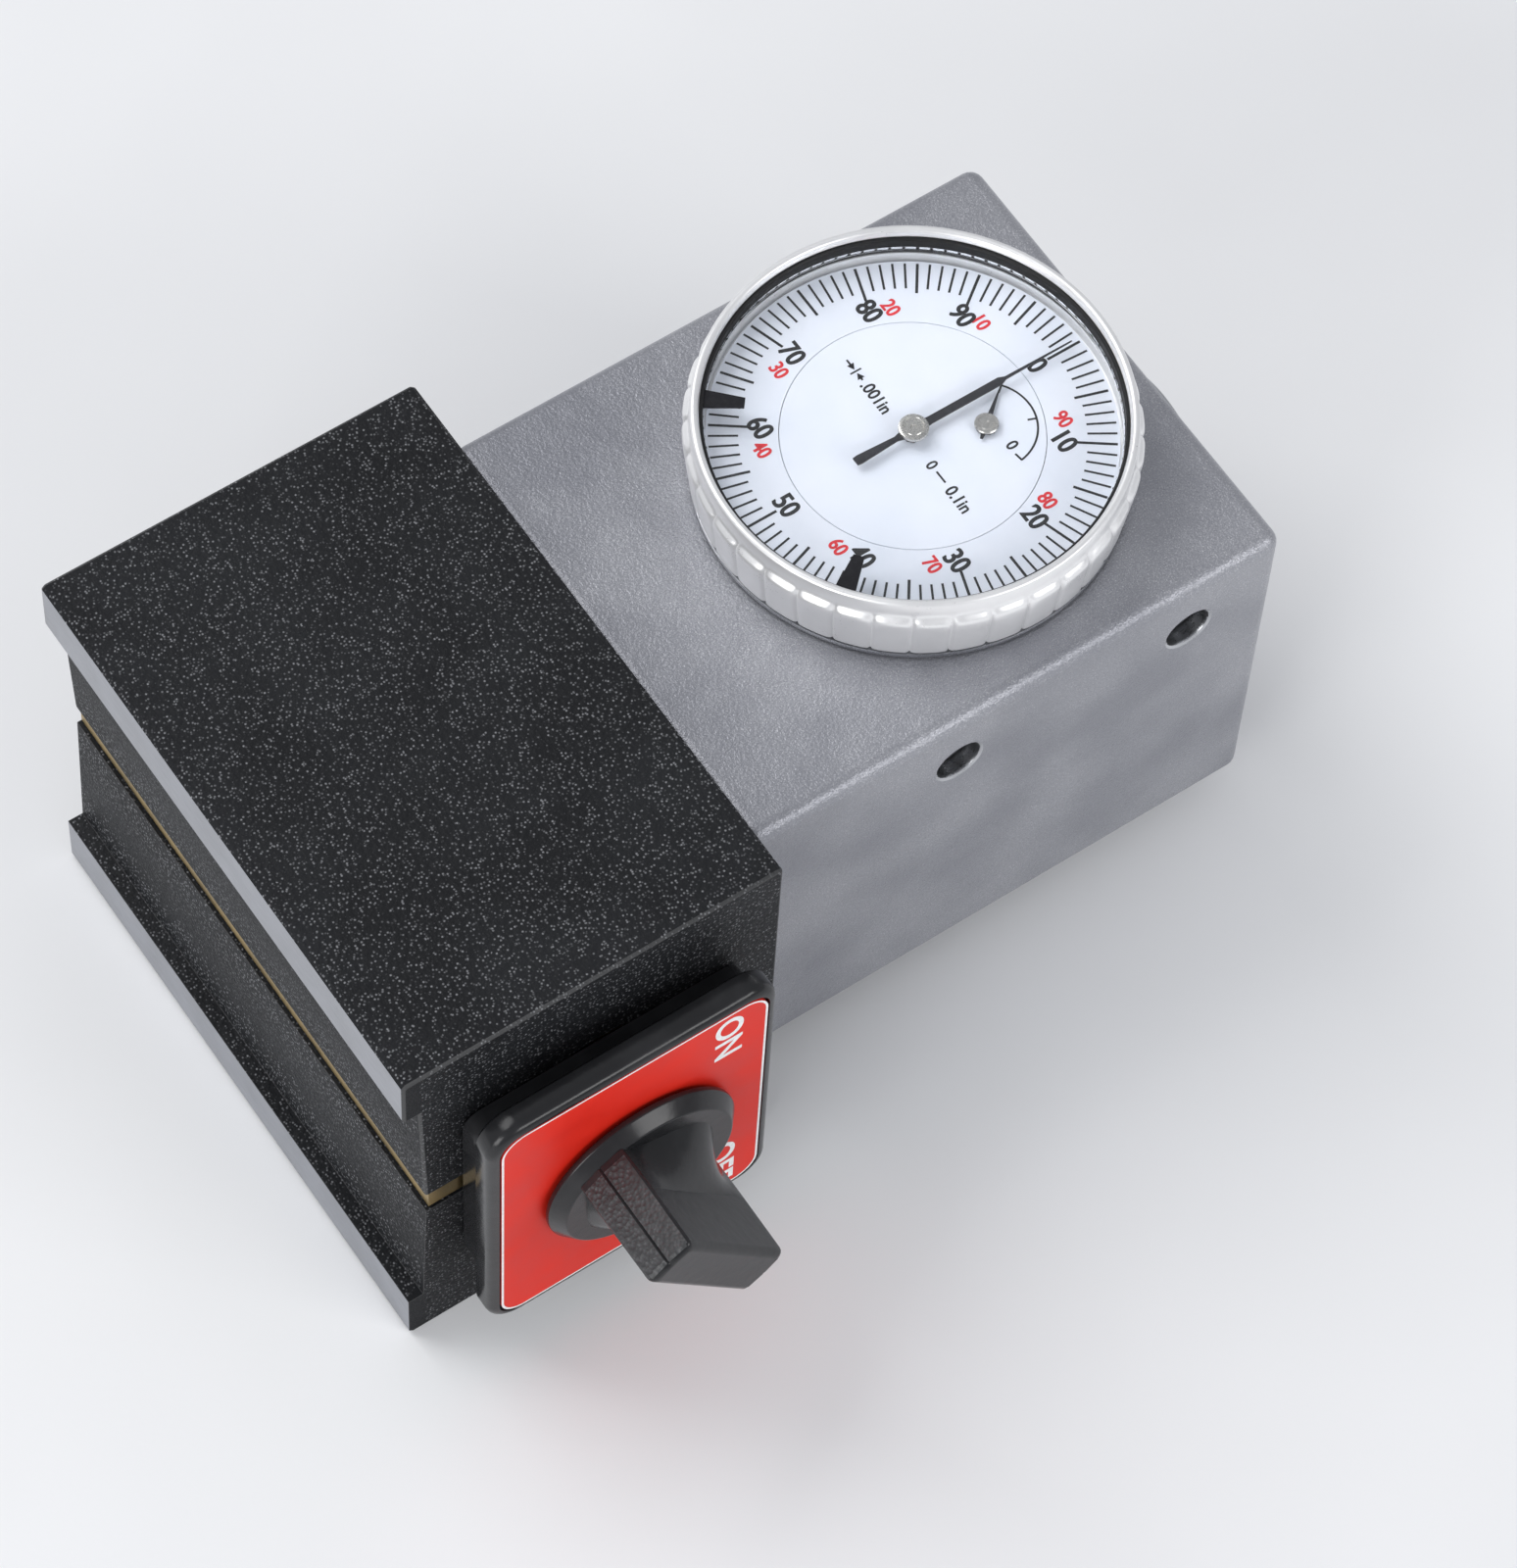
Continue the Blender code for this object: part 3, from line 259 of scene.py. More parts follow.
def wrinkled_plastic():
    """The leather-like ends of the knob's grip."""
    p = Paint("grip_texture", (0.03, 0.031, 0.034), 0.42)
    folds = p.cells(0.42)["Distance"]
    fine = p.noise(0.2, 2.0)
    p.set("Base Color", p.blend(p.span(folds, 0.2, 0.6), (0.060, 0.061, 0.065), (0.035, 0.036, 0.038)))
    p.set("Roughness", p.span(fine, 0.3, 0.7, 0.34, 0.5))
    p.bump(folds, 0.12, 0.8)
    p.bump(fine, 0.03)
    return p.mat


def print_ink(name, colour, roughness=0.5):
    """Printed or painted marks, a little uneven."""
    p = Paint(name, colour, roughness, Specular_IOR_Level=0.3)
    cloud = p.noise(0.5, 3.0, 0.6)
    pale = tuple(min(1.0, c * 1.2 + 0.004) for c in colour)
    p.set("Base Color", p.blend(p.span(cloud, 0.45, 0.7), colour, pale))
    p.set("Roughness", p.span(cloud, 0.3, 0.7, roughness * 0.85, roughness * 1.15))
    p.bump(p.noise(0.1), 0.004)
    return p.mat


def dial_paint():
    """Matt white with the slightest blue, very finely grained."""
    p = Paint("dial_paint", (0.68, 0.71, 0.78), 0.45)
    cloud = p.noise(7.0, 2.0)
    p.set("Base Color", p.blend(p.span(cloud, 0.3, 0.7), (0.66, 0.695, 0.77), (0.71, 0.735, 0.80)))
    p.set("Roughness", p.span(p.noise(0.2), 0.3, 0.7, 0.38, 0.52))
    p.bump(p.noise(0.12, 2.0), 0.004)
    return p.mat


def label_film():
    """The label's red, evenly printed under a satin film."""
    p = Paint("label_film", (0.72, 0.02, 0.01), 0.45, Specular_IOR_Level=0.25)
    cloud = p.noise(5.0, 3.0)
    p.set("Base Color", p.blend(p.span(cloud, 0.3, 0.7), (0.68, 0.018, 0.008), (0.78, 0.026, 0.012)))
    p.set("Roughness", p.span(cloud, 0.3, 0.7, 0.40, 0.54))
    p.bump(p.noise(0.3, 2.0), 0.008)
    return p.mat


def clear_glass():
    """Lamps shine straight through; everything else meets glass."""
    p = Paint("clear_glass", (0.97, 0.985, 1.0), 0.02, Transmission_Weight=1.0, IOR=1.45)
    p.bump(p.noise(8.0, 1.0), 0.004)
    ray = p.add("ShaderNodeLightPath").outputs["Is Shadow Ray"]
    through = p.add("ShaderNodeBsdfTransparent").outputs["BSDF"]
    mixed = p.add("ShaderNodeMixShader")
    p.plug(mixed.inputs[0], ray)
    p.plug(mixed.inputs[1], p.shader.outputs["BSDF"])
    p.plug(mixed.inputs[2], through)
    p.tree.links.new(mixed.outputs[0], p.tree.nodes["Material Output"].inputs["Surface"])
    return p.mat


SAND = sand_paint()
WORN_SAND = sand_paint("worn_sand_paint", 0.05)
SILVER = silver_paint()
GROUND = metal("ground_steel", (0.40, 0.41, 0.44), 0.40, (1.0, 0.06, 1.0), 0.12, 0.006)
TURNED = metal("turned_steel", (0.55, 0.56, 0.58), 0.28, (0.2, 1.0, 1.0), 0.15, 0.004)
DARK = metal("dark_steel", (0.075, 0.076, 0.082), 0.42, (1.0, 1.0, 1.0), 0.3, 0.01)
MAGNET = metal("magnet", (0.07, 0.07, 0.075), 0.6, (1.0, 1.0, 1.0), 0.4, 0.02)
BRASS = metal("brass", (0.42, 0.31, 0.14), 0.38, (1.0, 1.0, 0.3), 0.2, 0.004)
CHROME = metal("satin_chrome", (0.90, 0.90, 0.905), 0.34, (1.0, 1.0, 3.0), 0.3, 0.003, 0.04,
               metallic=0.6)
NICKEL = metal("nickel", (0.60, 0.58, 0.54), 0.24, (1.0, 1.0, 1.0), 0.08, 0.003)
SPRING = metal("spring_steel", (0.34, 0.34, 0.35), 0.32, (1.0, 1.0, 1.0), 0.1, 0.003)
PLASTIC = moulded("black_plastic", (0.013, 0.0132, 0.0145), 0.2, 1.2, 0.02)
RUBBER = moulded("rubber", (0.008, 0.008, 0.009), 0.5)
GRIP = wrinkled_plastic()
WHITE = dial_paint()
BLACK_INK = print_ink("black_ink", (0.004, 0.004, 0.005))
RED_INK = print_ink("red_ink", (0.60, 0.012, 0.02))
WHITE_INK = print_ink("white_ink", (0.85, 0.85, 0.85))
BLUED = print_ink("hand_paint", (0.012, 0.012, 0.015), 0.32)
FILM = label_film()
GLASS = clear_glass()


# Mesh helpers, all in millimetres from HOME

def in_metres(name, bm):
    """A mesh in the frame's metres from a bmesh in millimetres from HOME."""
    for vertex in bm.verts:
        vertex.co = HOME + vertex.co * MM
    mesh = bpy.data.meshes.new(name)
    bm.to_mesh(mesh)
    bm.free()
    return mesh


def piece(name, bm, body, mats, node=None, sharp=32.0, weighted=True):
    """Make an object from a bmesh, let it ride on a body and stand for a CAD node."""
    mesh = in_metres(name, bm)
    for mat in mats:
        mesh.materials.append(mat)
    mesh.shade_smooth()
    mesh.set_sharp_from_angle(angle=math.radians(sharp))
    made = bpy.data.objects.new(name, mesh)
    bpy.context.collection.objects.link(made)
    if weighted:
        made.modifiers.new("normals", "WEIGHTED_NORMAL").keep_sharp = True
    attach(made, body)
    if node:
        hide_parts(node)
    return made


def arc(centre, radius, start_deg, end_deg, steps):
    turn = [start_deg + (end_deg - start_deg) * i / steps for i in range(steps + 1)]
    return [(centre[0] + radius * math.cos(math.radians(a)),
             centre[1] + radius * math.sin(math.radians(a))) for a in turn]


def rounded_rectangle(low, high, radius):
    (x0, y0), (x1, y1) = low, high
    radius = max(radius, 0.02)
    centres = [(x1 - radius, y1 - radius), (x0 + radius, y1 - radius),
               (x0 + radius, y0 + radius), (x1 - radius, y0 + radius)]
    outline = []
    for quarter, centre in enumerate(centres):
        outline += arc(centre, radius, 90 * quarter, 90 * quarter + 90, CORNER_STEPS)
    return outline


def fillet(points, radius, steps=4, closed=True):
    """Round the corners of a polygon, or of a profile whose ends stay as they are."""
    rounded = []
    count = len(points)
    for i, point in enumerate(points):
        if not closed and i in (0, count - 1):
            rounded.append(point)
            continue
        here = Vector(point)
        before, after = Vector(points[i - 1]) - here, Vector(points[(i + 1) % count]) - here
        turn = math.pi - before.angle(after)
        if turn < math.radians(12):
            rounded.append(point)
            continue
        reach = min(radius * math.tan(turn / 2), 0.45 * before.length, 0.45 * after.length)
        start, end = here + before.normalized() * reach, here + after.normalized() * reach
        for k in range(steps + 1):
            t = k / steps
            rounded.append(tuple(start * (1 - t) ** 2 + here * 2 * t * (1 - t) + end * t ** 2))
    return rounded


def lathe(bm, profile, centre, axis=ON_Z, segments=96, shape=None):
    """Turn a profile of (radius, distance along the axis); shape may change a radius by angle."""
    closed = profile[0][0] > 1e-6 or profile[-1][0] > 1e-6
    rings = []
    for radius, along in profile:
        steps = 1 if radius < 1e-6 else segments
        ring = []
        for i in range(steps):
            a = 2 * math.pi * i / segments
            r = shape(radius, along, a) if shape else radius
            local = Vector((r * math.cos(a), r * math.sin(a), along))
            ring.append(bm.verts.new(Vector(centre) + axis @ local))
        rings.append(ring)
    faces = []
    pairs = list(zip(rings, rings[1:]))
    if closed:
        pairs.append((rings[-1], rings[0]))
    for lower, upper in pairs:
        if len(lower) == 1 and len(upper) == 1:
            continue
        for i in range(segments):
            j = (i + 1) % segments
            corners = [lower[i % len(lower)], lower[j % len(lower)],
                       upper[j % len(upper)], upper[i % len(upper)]]
            faces.append(bm.faces.new(list(dict.fromkeys(corners))))
    bmesh.ops.recalc_face_normals(bm, faces=faces)
    return faces


def loft(bm, rings, caps=True):
    count = len(rings[0])
    faces = [bm.faces.new(rings[0]), bm.faces.new(rings[-1])] if caps else []
    for first, second in zip(rings, rings[1:]):
        for i in range(count):
            j = (i + 1) % count
            faces.append(bm.faces.new((first[i], first[j], second[j], second[i])))
    bmesh.ops.recalc_face_normals(bm, faces=faces)
    return faces


def stack(bm, levels, place):
    """Loft outlines given as (outline, height); place turns (u, v, height) into a point."""
    return loft(bm, [[bm.verts.new(place(u, v, w)) for u, v in outline] for outline, w in levels])


def on_front(u, v, w):
    return (u, w, v)


def on_top(u, v, w):
    return (u, v, w)


def slab(bm, low, high, corner, levels, place):
    """A rounded rectangle, drawn in by an inset at each level given as (inset, height)."""
    outlines = []
    for inset, w in levels:
        shrunk = rounded_rectangle((low[0] + inset, low[1] + inset), (high[0] - inset, high[1] - inset),
                                   corner - inset)
        outlines.append((shrunk, w))
    return stack(bm, outlines, place)


def rounding(radius, low, high, steps=5):
    """Insets and heights that round the far edge of a slab running from low to high."""
    sign = 1.0 if high > low else -1.0
    levels = [(0.0, low)]
    for i in range(steps + 1):
        a = math.pi / 2 * i / steps
        levels.append((radius * (1 - math.cos(a)), high - sign * radius * (1 - math.sin(a))))
    return levels


def cut(target, bm, finish=None):
    """Cut a piece by a bmesh in millimetres; the cutter doesn't stay, but its finish may."""
    mesh = in_metres("cutter", bm)
    tool = bpy.data.objects.new("cutter", mesh)
    bpy.context.collection.objects.link(tool)
    boolean = target.modifiers.new("cut", "BOOLEAN")
    boolean.solver = "EXACT"
    boolean.object = tool
    if finish:
        mesh.materials.append(finish)
        boolean.material_mode = "TRANSFER"
    baked(target)
    bpy.data.objects.remove(tool, do_unlink=True)


def resmoothed(target):
    """Smooth shading again after cuts, with sharp edges kept."""
    target.data.shade_smooth()
    target.data.set_sharp_from_angle(angle=math.radians(30))
    target.modifiers.new("normals", "WEIGHTED_NORMAL").keep_sharp = True


def baked(target):
    """Make the modifiers' result the piece's own mesh."""
    graph = bpy.context.evaluated_depsgraph_get()
    graph.update()
    mesh = bpy.data.meshes.new_from_object(target.evaluated_get(graph), preserve_all_data_layers=True,
                                           depsgraph=graph)
    target.modifiers.clear()
    target.data = mesh


# Magnetic base

def softened(node, name, body, mats, width, choose):
    """A copy of a CAD node with merged flats and rounded edges, which get the last material."""
    bm = bmesh.new()
    bm.from_mesh(frame["nodes"][node].data)
    bmesh.ops.remove_doubles(bm, verts=bm.verts, dist=1e-6)
    bmesh.ops.dissolve_limit(bm, angle_limit=math.radians(0.5), verts=bm.verts, edges=bm.edges)
    for vertex in bm.verts:
        vertex.co = (vertex.co - HOME) / MM
    bm.normal_update()
    for face in bm.faces:
        face.material_index = choose(face)
    made = piece(name, bm, body, mats, node, sharp=40.0, weighted=False)
    edge = made.modifiers.new("edges", "BEVEL")
    edge.width = width * MM
    edge.segments = 3
    edge.limit_method = "ANGLE"
    edge.angle_limit = math.radians(50)
    edge.harden_normals = True
    edge.material = len(mats) - 1
    return made


def pole_slot(face):
    """Ground steel on the foot lands, dark steel in the magnet's bore, paint on the rest."""
    centre = face.calc_center_median()
    if face.normal.x < -0.9 and centre.x < 0.05:
        return 1
    bore_radius, bore_from, bore_to = 14.5, 6.0, 35.0
    in_bore = abs(centre.z - SWITCH.z) < bore_radius and bore_from < centre.x < bore_to
    return 2 if in_bore and abs(face.normal.y) < 0.5 else 0


def magnetic_base():
    for node in ("base_pole_upper", "base_pole_lower"):
        softened(node, node.replace("pole", "body"), "base", [SAND, GROUND, DARK, WORN_SAND], 0.28,
                 pole_slot)
    low, high = low_high("rear_bearing")
    radius = (high.x - low.x) / 2
    bm = bmesh.new()
    profile = fillet([(0, low.y), (radius, low.y), (radius, high.y - 0.5), (radius - 0.6, high.y),
                      (4.0, high.y), (3.2, high.y - 0.8), (0, high.y - 0.8)], 0.15, 3, closed=False)
    lathe(bm, profile, (SWITCH.x, 0, SWITCH.z), ON_Y, 96)
    piece("rear_cap", bm, "base", [DARK], "rear_bearing")


# Switch

def switch_frame():
    """A plate with a glossy rounded rim on a smaller foot, and the label in its pocket."""
    low, high = FRAME
    inset = LABEL[0].x - low.x - 0.12
    plate_back = low.y + PLATE_THICK
    bm = bmesh.new()
    levels = [(0.4, plate_back)] + rounding(1.0, plate_back - 0.35, low.y, 8)
    levels += [(inset - 0.06, low.y + 0.02), (inset, low.y + 0.12), (inset, low.y + 0.5)]
    slab(bm, (low.x, low.z), (high.x, high.z), PLATE_CORNER, levels, on_front)
    half_x, half_z = PLATE_FOOT
    slab(bm, (SWITCH.x - half_x, SWITCH.z - half_z), (SWITCH.x + half_x, SWITCH.z + half_z), 2.0,
         [(0.0, plate_back + 0.02), (0.0, high.y - 0.15), (0.15, high.y)], on_front)
    piece("switch_surround", bm, "base", [PLASTIC], "switch_frame", sharp=50.0)
    low, high = LABEL
    bm = bmesh.new()
    slab(bm, (low.x, low.z), (high.x, high.z), LABEL_CORNER, rounding(0.08, high.y, low.y, 3), on_front)
    piece("switch_plate", bm, "base", [FILM], "switch_label")
    bm = bmesh.new()
    outer = rounded_rectangle((low.x, low.z), (high.x, high.z), LABEL_CORNER)
    inner = rounded_rectangle((low.x + BORDER, low.z + BORDER), (high.x - BORDER, high.z - BORDER),
                              LABEL_CORNER - BORDER)
    ring(bm, outer, inner, low.y - PRINT_LIFT)
    piece("label_border", bm, "base", [WHITE_INK], weighted=False)
    bm = bmesh.new()
    for body, z in (("ON", high.z - 4.3), ("OFF", low.z + 5.0)):
        lettering(bm, body, 3.0, (high.x - 4.1, low.y - 0.014, z), up=Vector((1, 0, 0)),
                  right=Vector((0, 0, -1)), bold=0.02, width=1.12)
    piece("label_words", bm, "base", [WHITE_INK], weighted=False)


def ring(bm, outer, inner, w):
    """A flat band between two outlines on the switch's side."""
    loft(bm, [[bm.verts.new(on_front(u, v, w)) for u, v in outline] for outline in (outer, inner)],
         caps=False)


def lettering(bm, body, height, centre, up, right, bold=0.0, width=1.0):
    """Flat letters of the given height, centred on a point of the surface."""
    curve = bpy.data.curves.new("letters", "FONT")
    curve.body = body
    curve.size = 1.0
    curve.offset = bold
    curve.resolution_u = 6
    holder = bpy.data.objects.new("letters", curve)
    bpy.context.collection.objects.link(holder)
    graph = bpy.context.evaluated_depsgraph_get()
    graph.update()
    mesh = bpy.data.meshes.new_from_object(holder.evaluated_get(graph))
    bpy.data.objects.remove(holder, do_unlink=True)
    points = [v.co.copy() for v in mesh.vertices]
    xs, ys = [p.x for p in points], [p.y for p in points]
    scale = height / (max(ys) - min(ys))
    middle = Vector(((max(xs) + min(xs)) / 2, (max(ys) + min(ys)) / 2))
    made = [bm.verts.new(Vector(centre) + right * (p.x - middle.x) * scale * width
                         + up * (p.y - middle.y) * scale) for p in points]
    for polygon in mesh.polygons:
        bm.faces.new([made[i] for i in polygon.vertices])
    bpy.data.meshes.remove(mesh)


def knob_outline(half, flare, reach):
    """The grip's section: ends with rounded corners and a parting line, and sides that swell midway."""
    corner = 0.45
    side_from = reach - corner - 0.25
    end = [(reach - 0.10 * abs(v), v) for v in (-1.9, -0.8, -0.14)] + [(reach - 0.14, 0.0)]
    end += [(u, -v) for u, v in reversed(end[:3])]
    turn = arc((side_from, half - corner), corner, 15, 90, 4)
    side = []
    for i in range(1, 16):
        t = 1.0 - i / 8.0
        side.append((side_from * t, half + flare * (1.0 - t * t) ** 2))
    right = end + turn
    left = [(-u, -v) for u, v in right]
    under = [(u, -v) for u, v in turn[::-1]]
    return under + right + side + [(-u, -v) for u, v in under] + left + [(-u, -v) for u, v in side]


def switch_knob():
    low, high = KNOB
    radius, back, front = (high.x - low.x) / 2, high.y, low.y
    flange = back - 1.9
    bm = bmesh.new()
    profile = fillet([(0, back), (radius, back), (radius, back - 0.6), (8.9, flange), (0, flange)],
                     0.3, 4, closed=False)
    lathe(bm, profile, (SWITCH.x, 0, SWITCH.z), ON_Y, 128)
    along = Vector((math.cos(REST), 0, math.sin(REST)))
    across = Vector((-math.sin(REST), 0, math.cos(REST)))
    hollow, half, reach = 4.6, 2.75, 9.1
    rings = []
    for i in range(13):
        a = math.pi / 2 * i / 12
        rings.append((flange + 0.15 - hollow * math.sin(a),
                      knob_outline(half, hollow * (1 - math.sin(a)), reach)))
    rings.append((front + 0.8, knob_outline(half - 0.05, 0.0, reach)))
    for i in range(1, 6):
        a = math.pi / 2 * i / 5
        draw = 0.8 * (1 - math.cos(a))
        rings.append((front + 0.8 * (1 - math.sin(a)), knob_outline(half - 0.05 - draw, 0.0, reach - draw)))
    hub = Vector((SWITCH.x, 0, SWITCH.z))
    loops = [[bm.verts.new(hub + along * u + across * v + Vector((0, y, 0))) for u, v in outline]
             for y, outline in rings]
    faces = loft(bm, loops)
    bm.normal_update()
    for face in faces:
        centre = face.calc_center_median() - hub
        if abs(face.normal.dot(along)) > 0.80 and centre.y < flange - 0.3:
            face.material_index = 1
    piece("switch_handle", bm, "switch_rotor", [PLASTIC, GRIP], "switch_knob", sharp=45.0)


# Indicator block

def indicator_block():
    low, high = BLOCK
    bm = bmesh.new()
    bmesh.ops.create_cube(bm, size=1.0)
    for vertex in bm.verts:
        vertex.co = Vector(((low[k] + high[k]) / 2 + vertex.co[k] * (high[k] - low[k])) for k in range(3))
    bmesh.ops.bevel(bm, geom=list(bm.edges), offset=1.5, segments=6, profile=0.5, affect="EDGES")
    block = piece("indicator_block", bm, "base", [SILVER], "indicator_housing", sharp=40.0,
                  weighted=False)
    for number in (1, 2):
        screw = middle_of("side_screw_%d" % number)
        bm = bmesh.new()
        lathe(bm, [(0, -1.0), (2.75, -1.0), (2.62, 0.0), (2.38, 0.16), (2.3, 0.45), (2.3, 3.6),
                   (1.5, 3.6), (1.5, 4.6), (0, 4.6)], (screw.x, low.y, screw.z), ON_Y, 48)
        cut(block, bm, TURNED)
    cover_low, cover_high = low_high("back_cover")
    bm = bmesh.new()
    slab(bm, (cover_low.x - 0.3, cover_low.y - 0.3), (cover_high.x + 0.3, cover_high.y + 0.3), 3.0,
         [(0.0, low.z - 1.0), (0.0, cover_high.z + 0.3)], on_top)
    cut(block, bm)
    bm = bmesh.new()
    lathe(bm, [(0, high.z - 3.5), (15.2, high.z - 3.5), (15.2, high.z + 1.0), (0, high.z + 1.0)],
          (DIAL.x, DIAL.y, 0), ON_Z, 64)
    cut(block, bm)
    stem = middle_of("stem_bushing")
    bm = bmesh.new()
    lathe(bm, [(0, high.x - 5.5), (5.3, high.x - 5.5), (5.3, high.x - 0.4), (5.7, high.x),
               (5.9, high.x + 1.0), (0, high.x + 1.0)], (0, stem.y, stem.z), ON_X, 64)
    cut(block, bm)
    resmoothed(block)


def back_cover():
    low, high = low_high("back_cover")
    bm = bmesh.new()
    slab(bm, (low.x, low.y), (high.x, high.y), 2.7, rounding(0.3, high.z, low.z, 4), on_top)
    cover = piece("rear_cover", bm, "base", [SILVER], "back_cover", weighted=False)
    for number in range(1, 5):
        screw = middle_of("cover_screw_%d" % number)
        bm = bmesh.new()
        lathe(bm, [(0, low.z - 1), (2.35, low.z - 1), (2.3, low.z), (2.1, low.z + 0.2), (2.1, low.z + 1.0),
                   (0, low.z + 1.0)], (screw.x, screw.y, 0), ON_Z, 48)
        cut(cover, bm)
    resmoothed(cover)


def socket_screw(name, node, centre, axis, head, thick, shank, tip, socket):
    """A screw with a hexagon socket; head is where its head starts, tip where its shank ends."""
    low, high = low_high(node)
    radius = min((high - low)[:]) / 2
    chamfer, segments = 0.18, 48
    bm = bmesh.new()

    def loop(w, point):
        made = []
        for i in range(segments):
            x, y = point(i / segments)
            made.append(bm.verts.new(Vector(centre) + axis @ Vector((x, y, w))))
        return made

    def hexagon(grow):
        corners = [Vector((socket * math.cos(a), socket * math.sin(a)))
                   for a in (math.pi / 3 * k for k in range(6))]

        def point(share):
            side, along = divmod(share * 6, 1.0)
            return corners[int(side) % 6].lerp(corners[(int(side) + 1) % 6], along) * grow
        return point

    def circle(r):
        return lambda share: (r * math.cos(2 * math.pi * share), r * math.sin(2 * math.pi * share))

    rings = [loop(head + 0.62 * thick, hexagon(1.0)), loop(head + 0.08, hexagon(1.0)),
             loop(head, hexagon(1.1))]
    for r, w in ((radius - chamfer, head), (radius, head + chamfer), (radius, head + thick),
                 (shank, head + thick), (shank, tip)):
        rings.append(loop(w, circle(r)))
    loft(bm, rings)
    piece(name, bm, "base", [DARK], node, sharp=28.0)


def fasteners():
    for number in (1, 2):
        node = "side_screw_%d" % number
        low, high = low_high(node)
        middle = middle_of(node)
        socket_screw("side_socket_screw_%d" % number, node, (middle.x, 0, middle.z), ON_Y, head=low.y,
                     thick=1.7, shank=1.1, tip=high.y, socket=0.95)
    for number in range(1, 5):
        node = "cover_screw_%d" % number
        low, high = low_high(node)
        middle = middle_of(node)
        socket_screw("cover_socket_screw_%d" % number, node, (middle.x, middle.y, 0), ON_Z, head=low.z,
                     thick=0.7, shank=0.8, tip=high.z, socket=0.85)


def turned_parts():
    """The smooth round pieces outside the block: stem bushing and contact anvil."""
    low, high = low_high("stem_bushing")
    middle = (0, (low.y + high.y) / 2, (low.z + high.z) / 2)
    radius = (high.y - low.y) / 2
    bm = bmesh.new()
    lathe(bm, fillet([(2.55, low.x), (radius, low.x), (radius, high.x), (2.55, high.x)], 0.3, 4),
          middle, ON_X, 96)
    piece("stem_sleeve", bm, "base", [TURNED], "stem_bushing")
    low, high = low_high("contact_anvil")
    radius = (high.y - low.y) / 2
    bm = bmesh.new()
    lathe(bm, fillet([(2.4, low.x), (radius, low.x), (radius, high.x), (0, high.x), (0, high.x - 1.1),
                      (2.4, high.x - 1.1)], 0.4, 5), middle, ON_X, 128)
    piece("anvil_disc", bm, "plunger", [TURNED], "contact_anvil")


# Dial

def bezel_radius(radius, along, angle):
    """Fine grooves up the skirt, which also nick its top edge."""
    skirt_top = BEZEL[0].z + 6.0
    fade = min(1.0, max(0.0, (skirt_top + 0.45 - along) / 0.45))
    if radius < 20.0 or fade <= 0.0:
        return radius
    pitch = 360.0 / FLUTES
    step = math.degrees(angle) % pitch - pitch / 2
    groove = 0.20 * math.exp(-(step / 0.42) ** 2)
    near_top = max(0.0, 1.0 - abs(along - skirt_top) / 0.8)
    nick = (0.05 + 0.20 * near_top) * math.exp(-(step / 1.5) ** 2)
    return radius - fade * (groove + nick)


def bezel():
    low, high = BEZEL
    foot, widest, top = low.z, (high.x - low.x) / 2, high.z
    skirt = [(20.1, foot), (20.35, foot + 0.12), (20.42, foot + 0.4), (widest - 0.12, foot + 4.4),
             (widest, foot + 5.4), (widest - 0.02, foot + 5.75), (widest - 0.16, foot + 6.02),
             (widest - 0.42, foot + 6.22), (20.42, foot + 6.42), (20.36, foot + 6.8)]
    rim = arc((19.98, top - 0.42), 0.42, 20, 165, 8)
    inner = [(19.55, top - 0.5), (19.5, top - 0.6), (19.5, top - 0.75), (20.1, top - 0.75),
             (20.1, foot + 5.1), (19.2, foot + 5.1), (19.2, foot + 3.55), (17.9, foot + 3.55),
             (17.9, foot + 3.05), (18.9, foot + 3.05), (18.9, foot)]
    bm = bmesh.new()
    lathe(bm, skirt + rim + inner, (DIAL.x, DIAL.y, 0), ON_Z, 720, bezel_radius)
    piece("fluted_bezel", bm, "bezel_ring", [CHROME], "bezel", sharp=38.0)


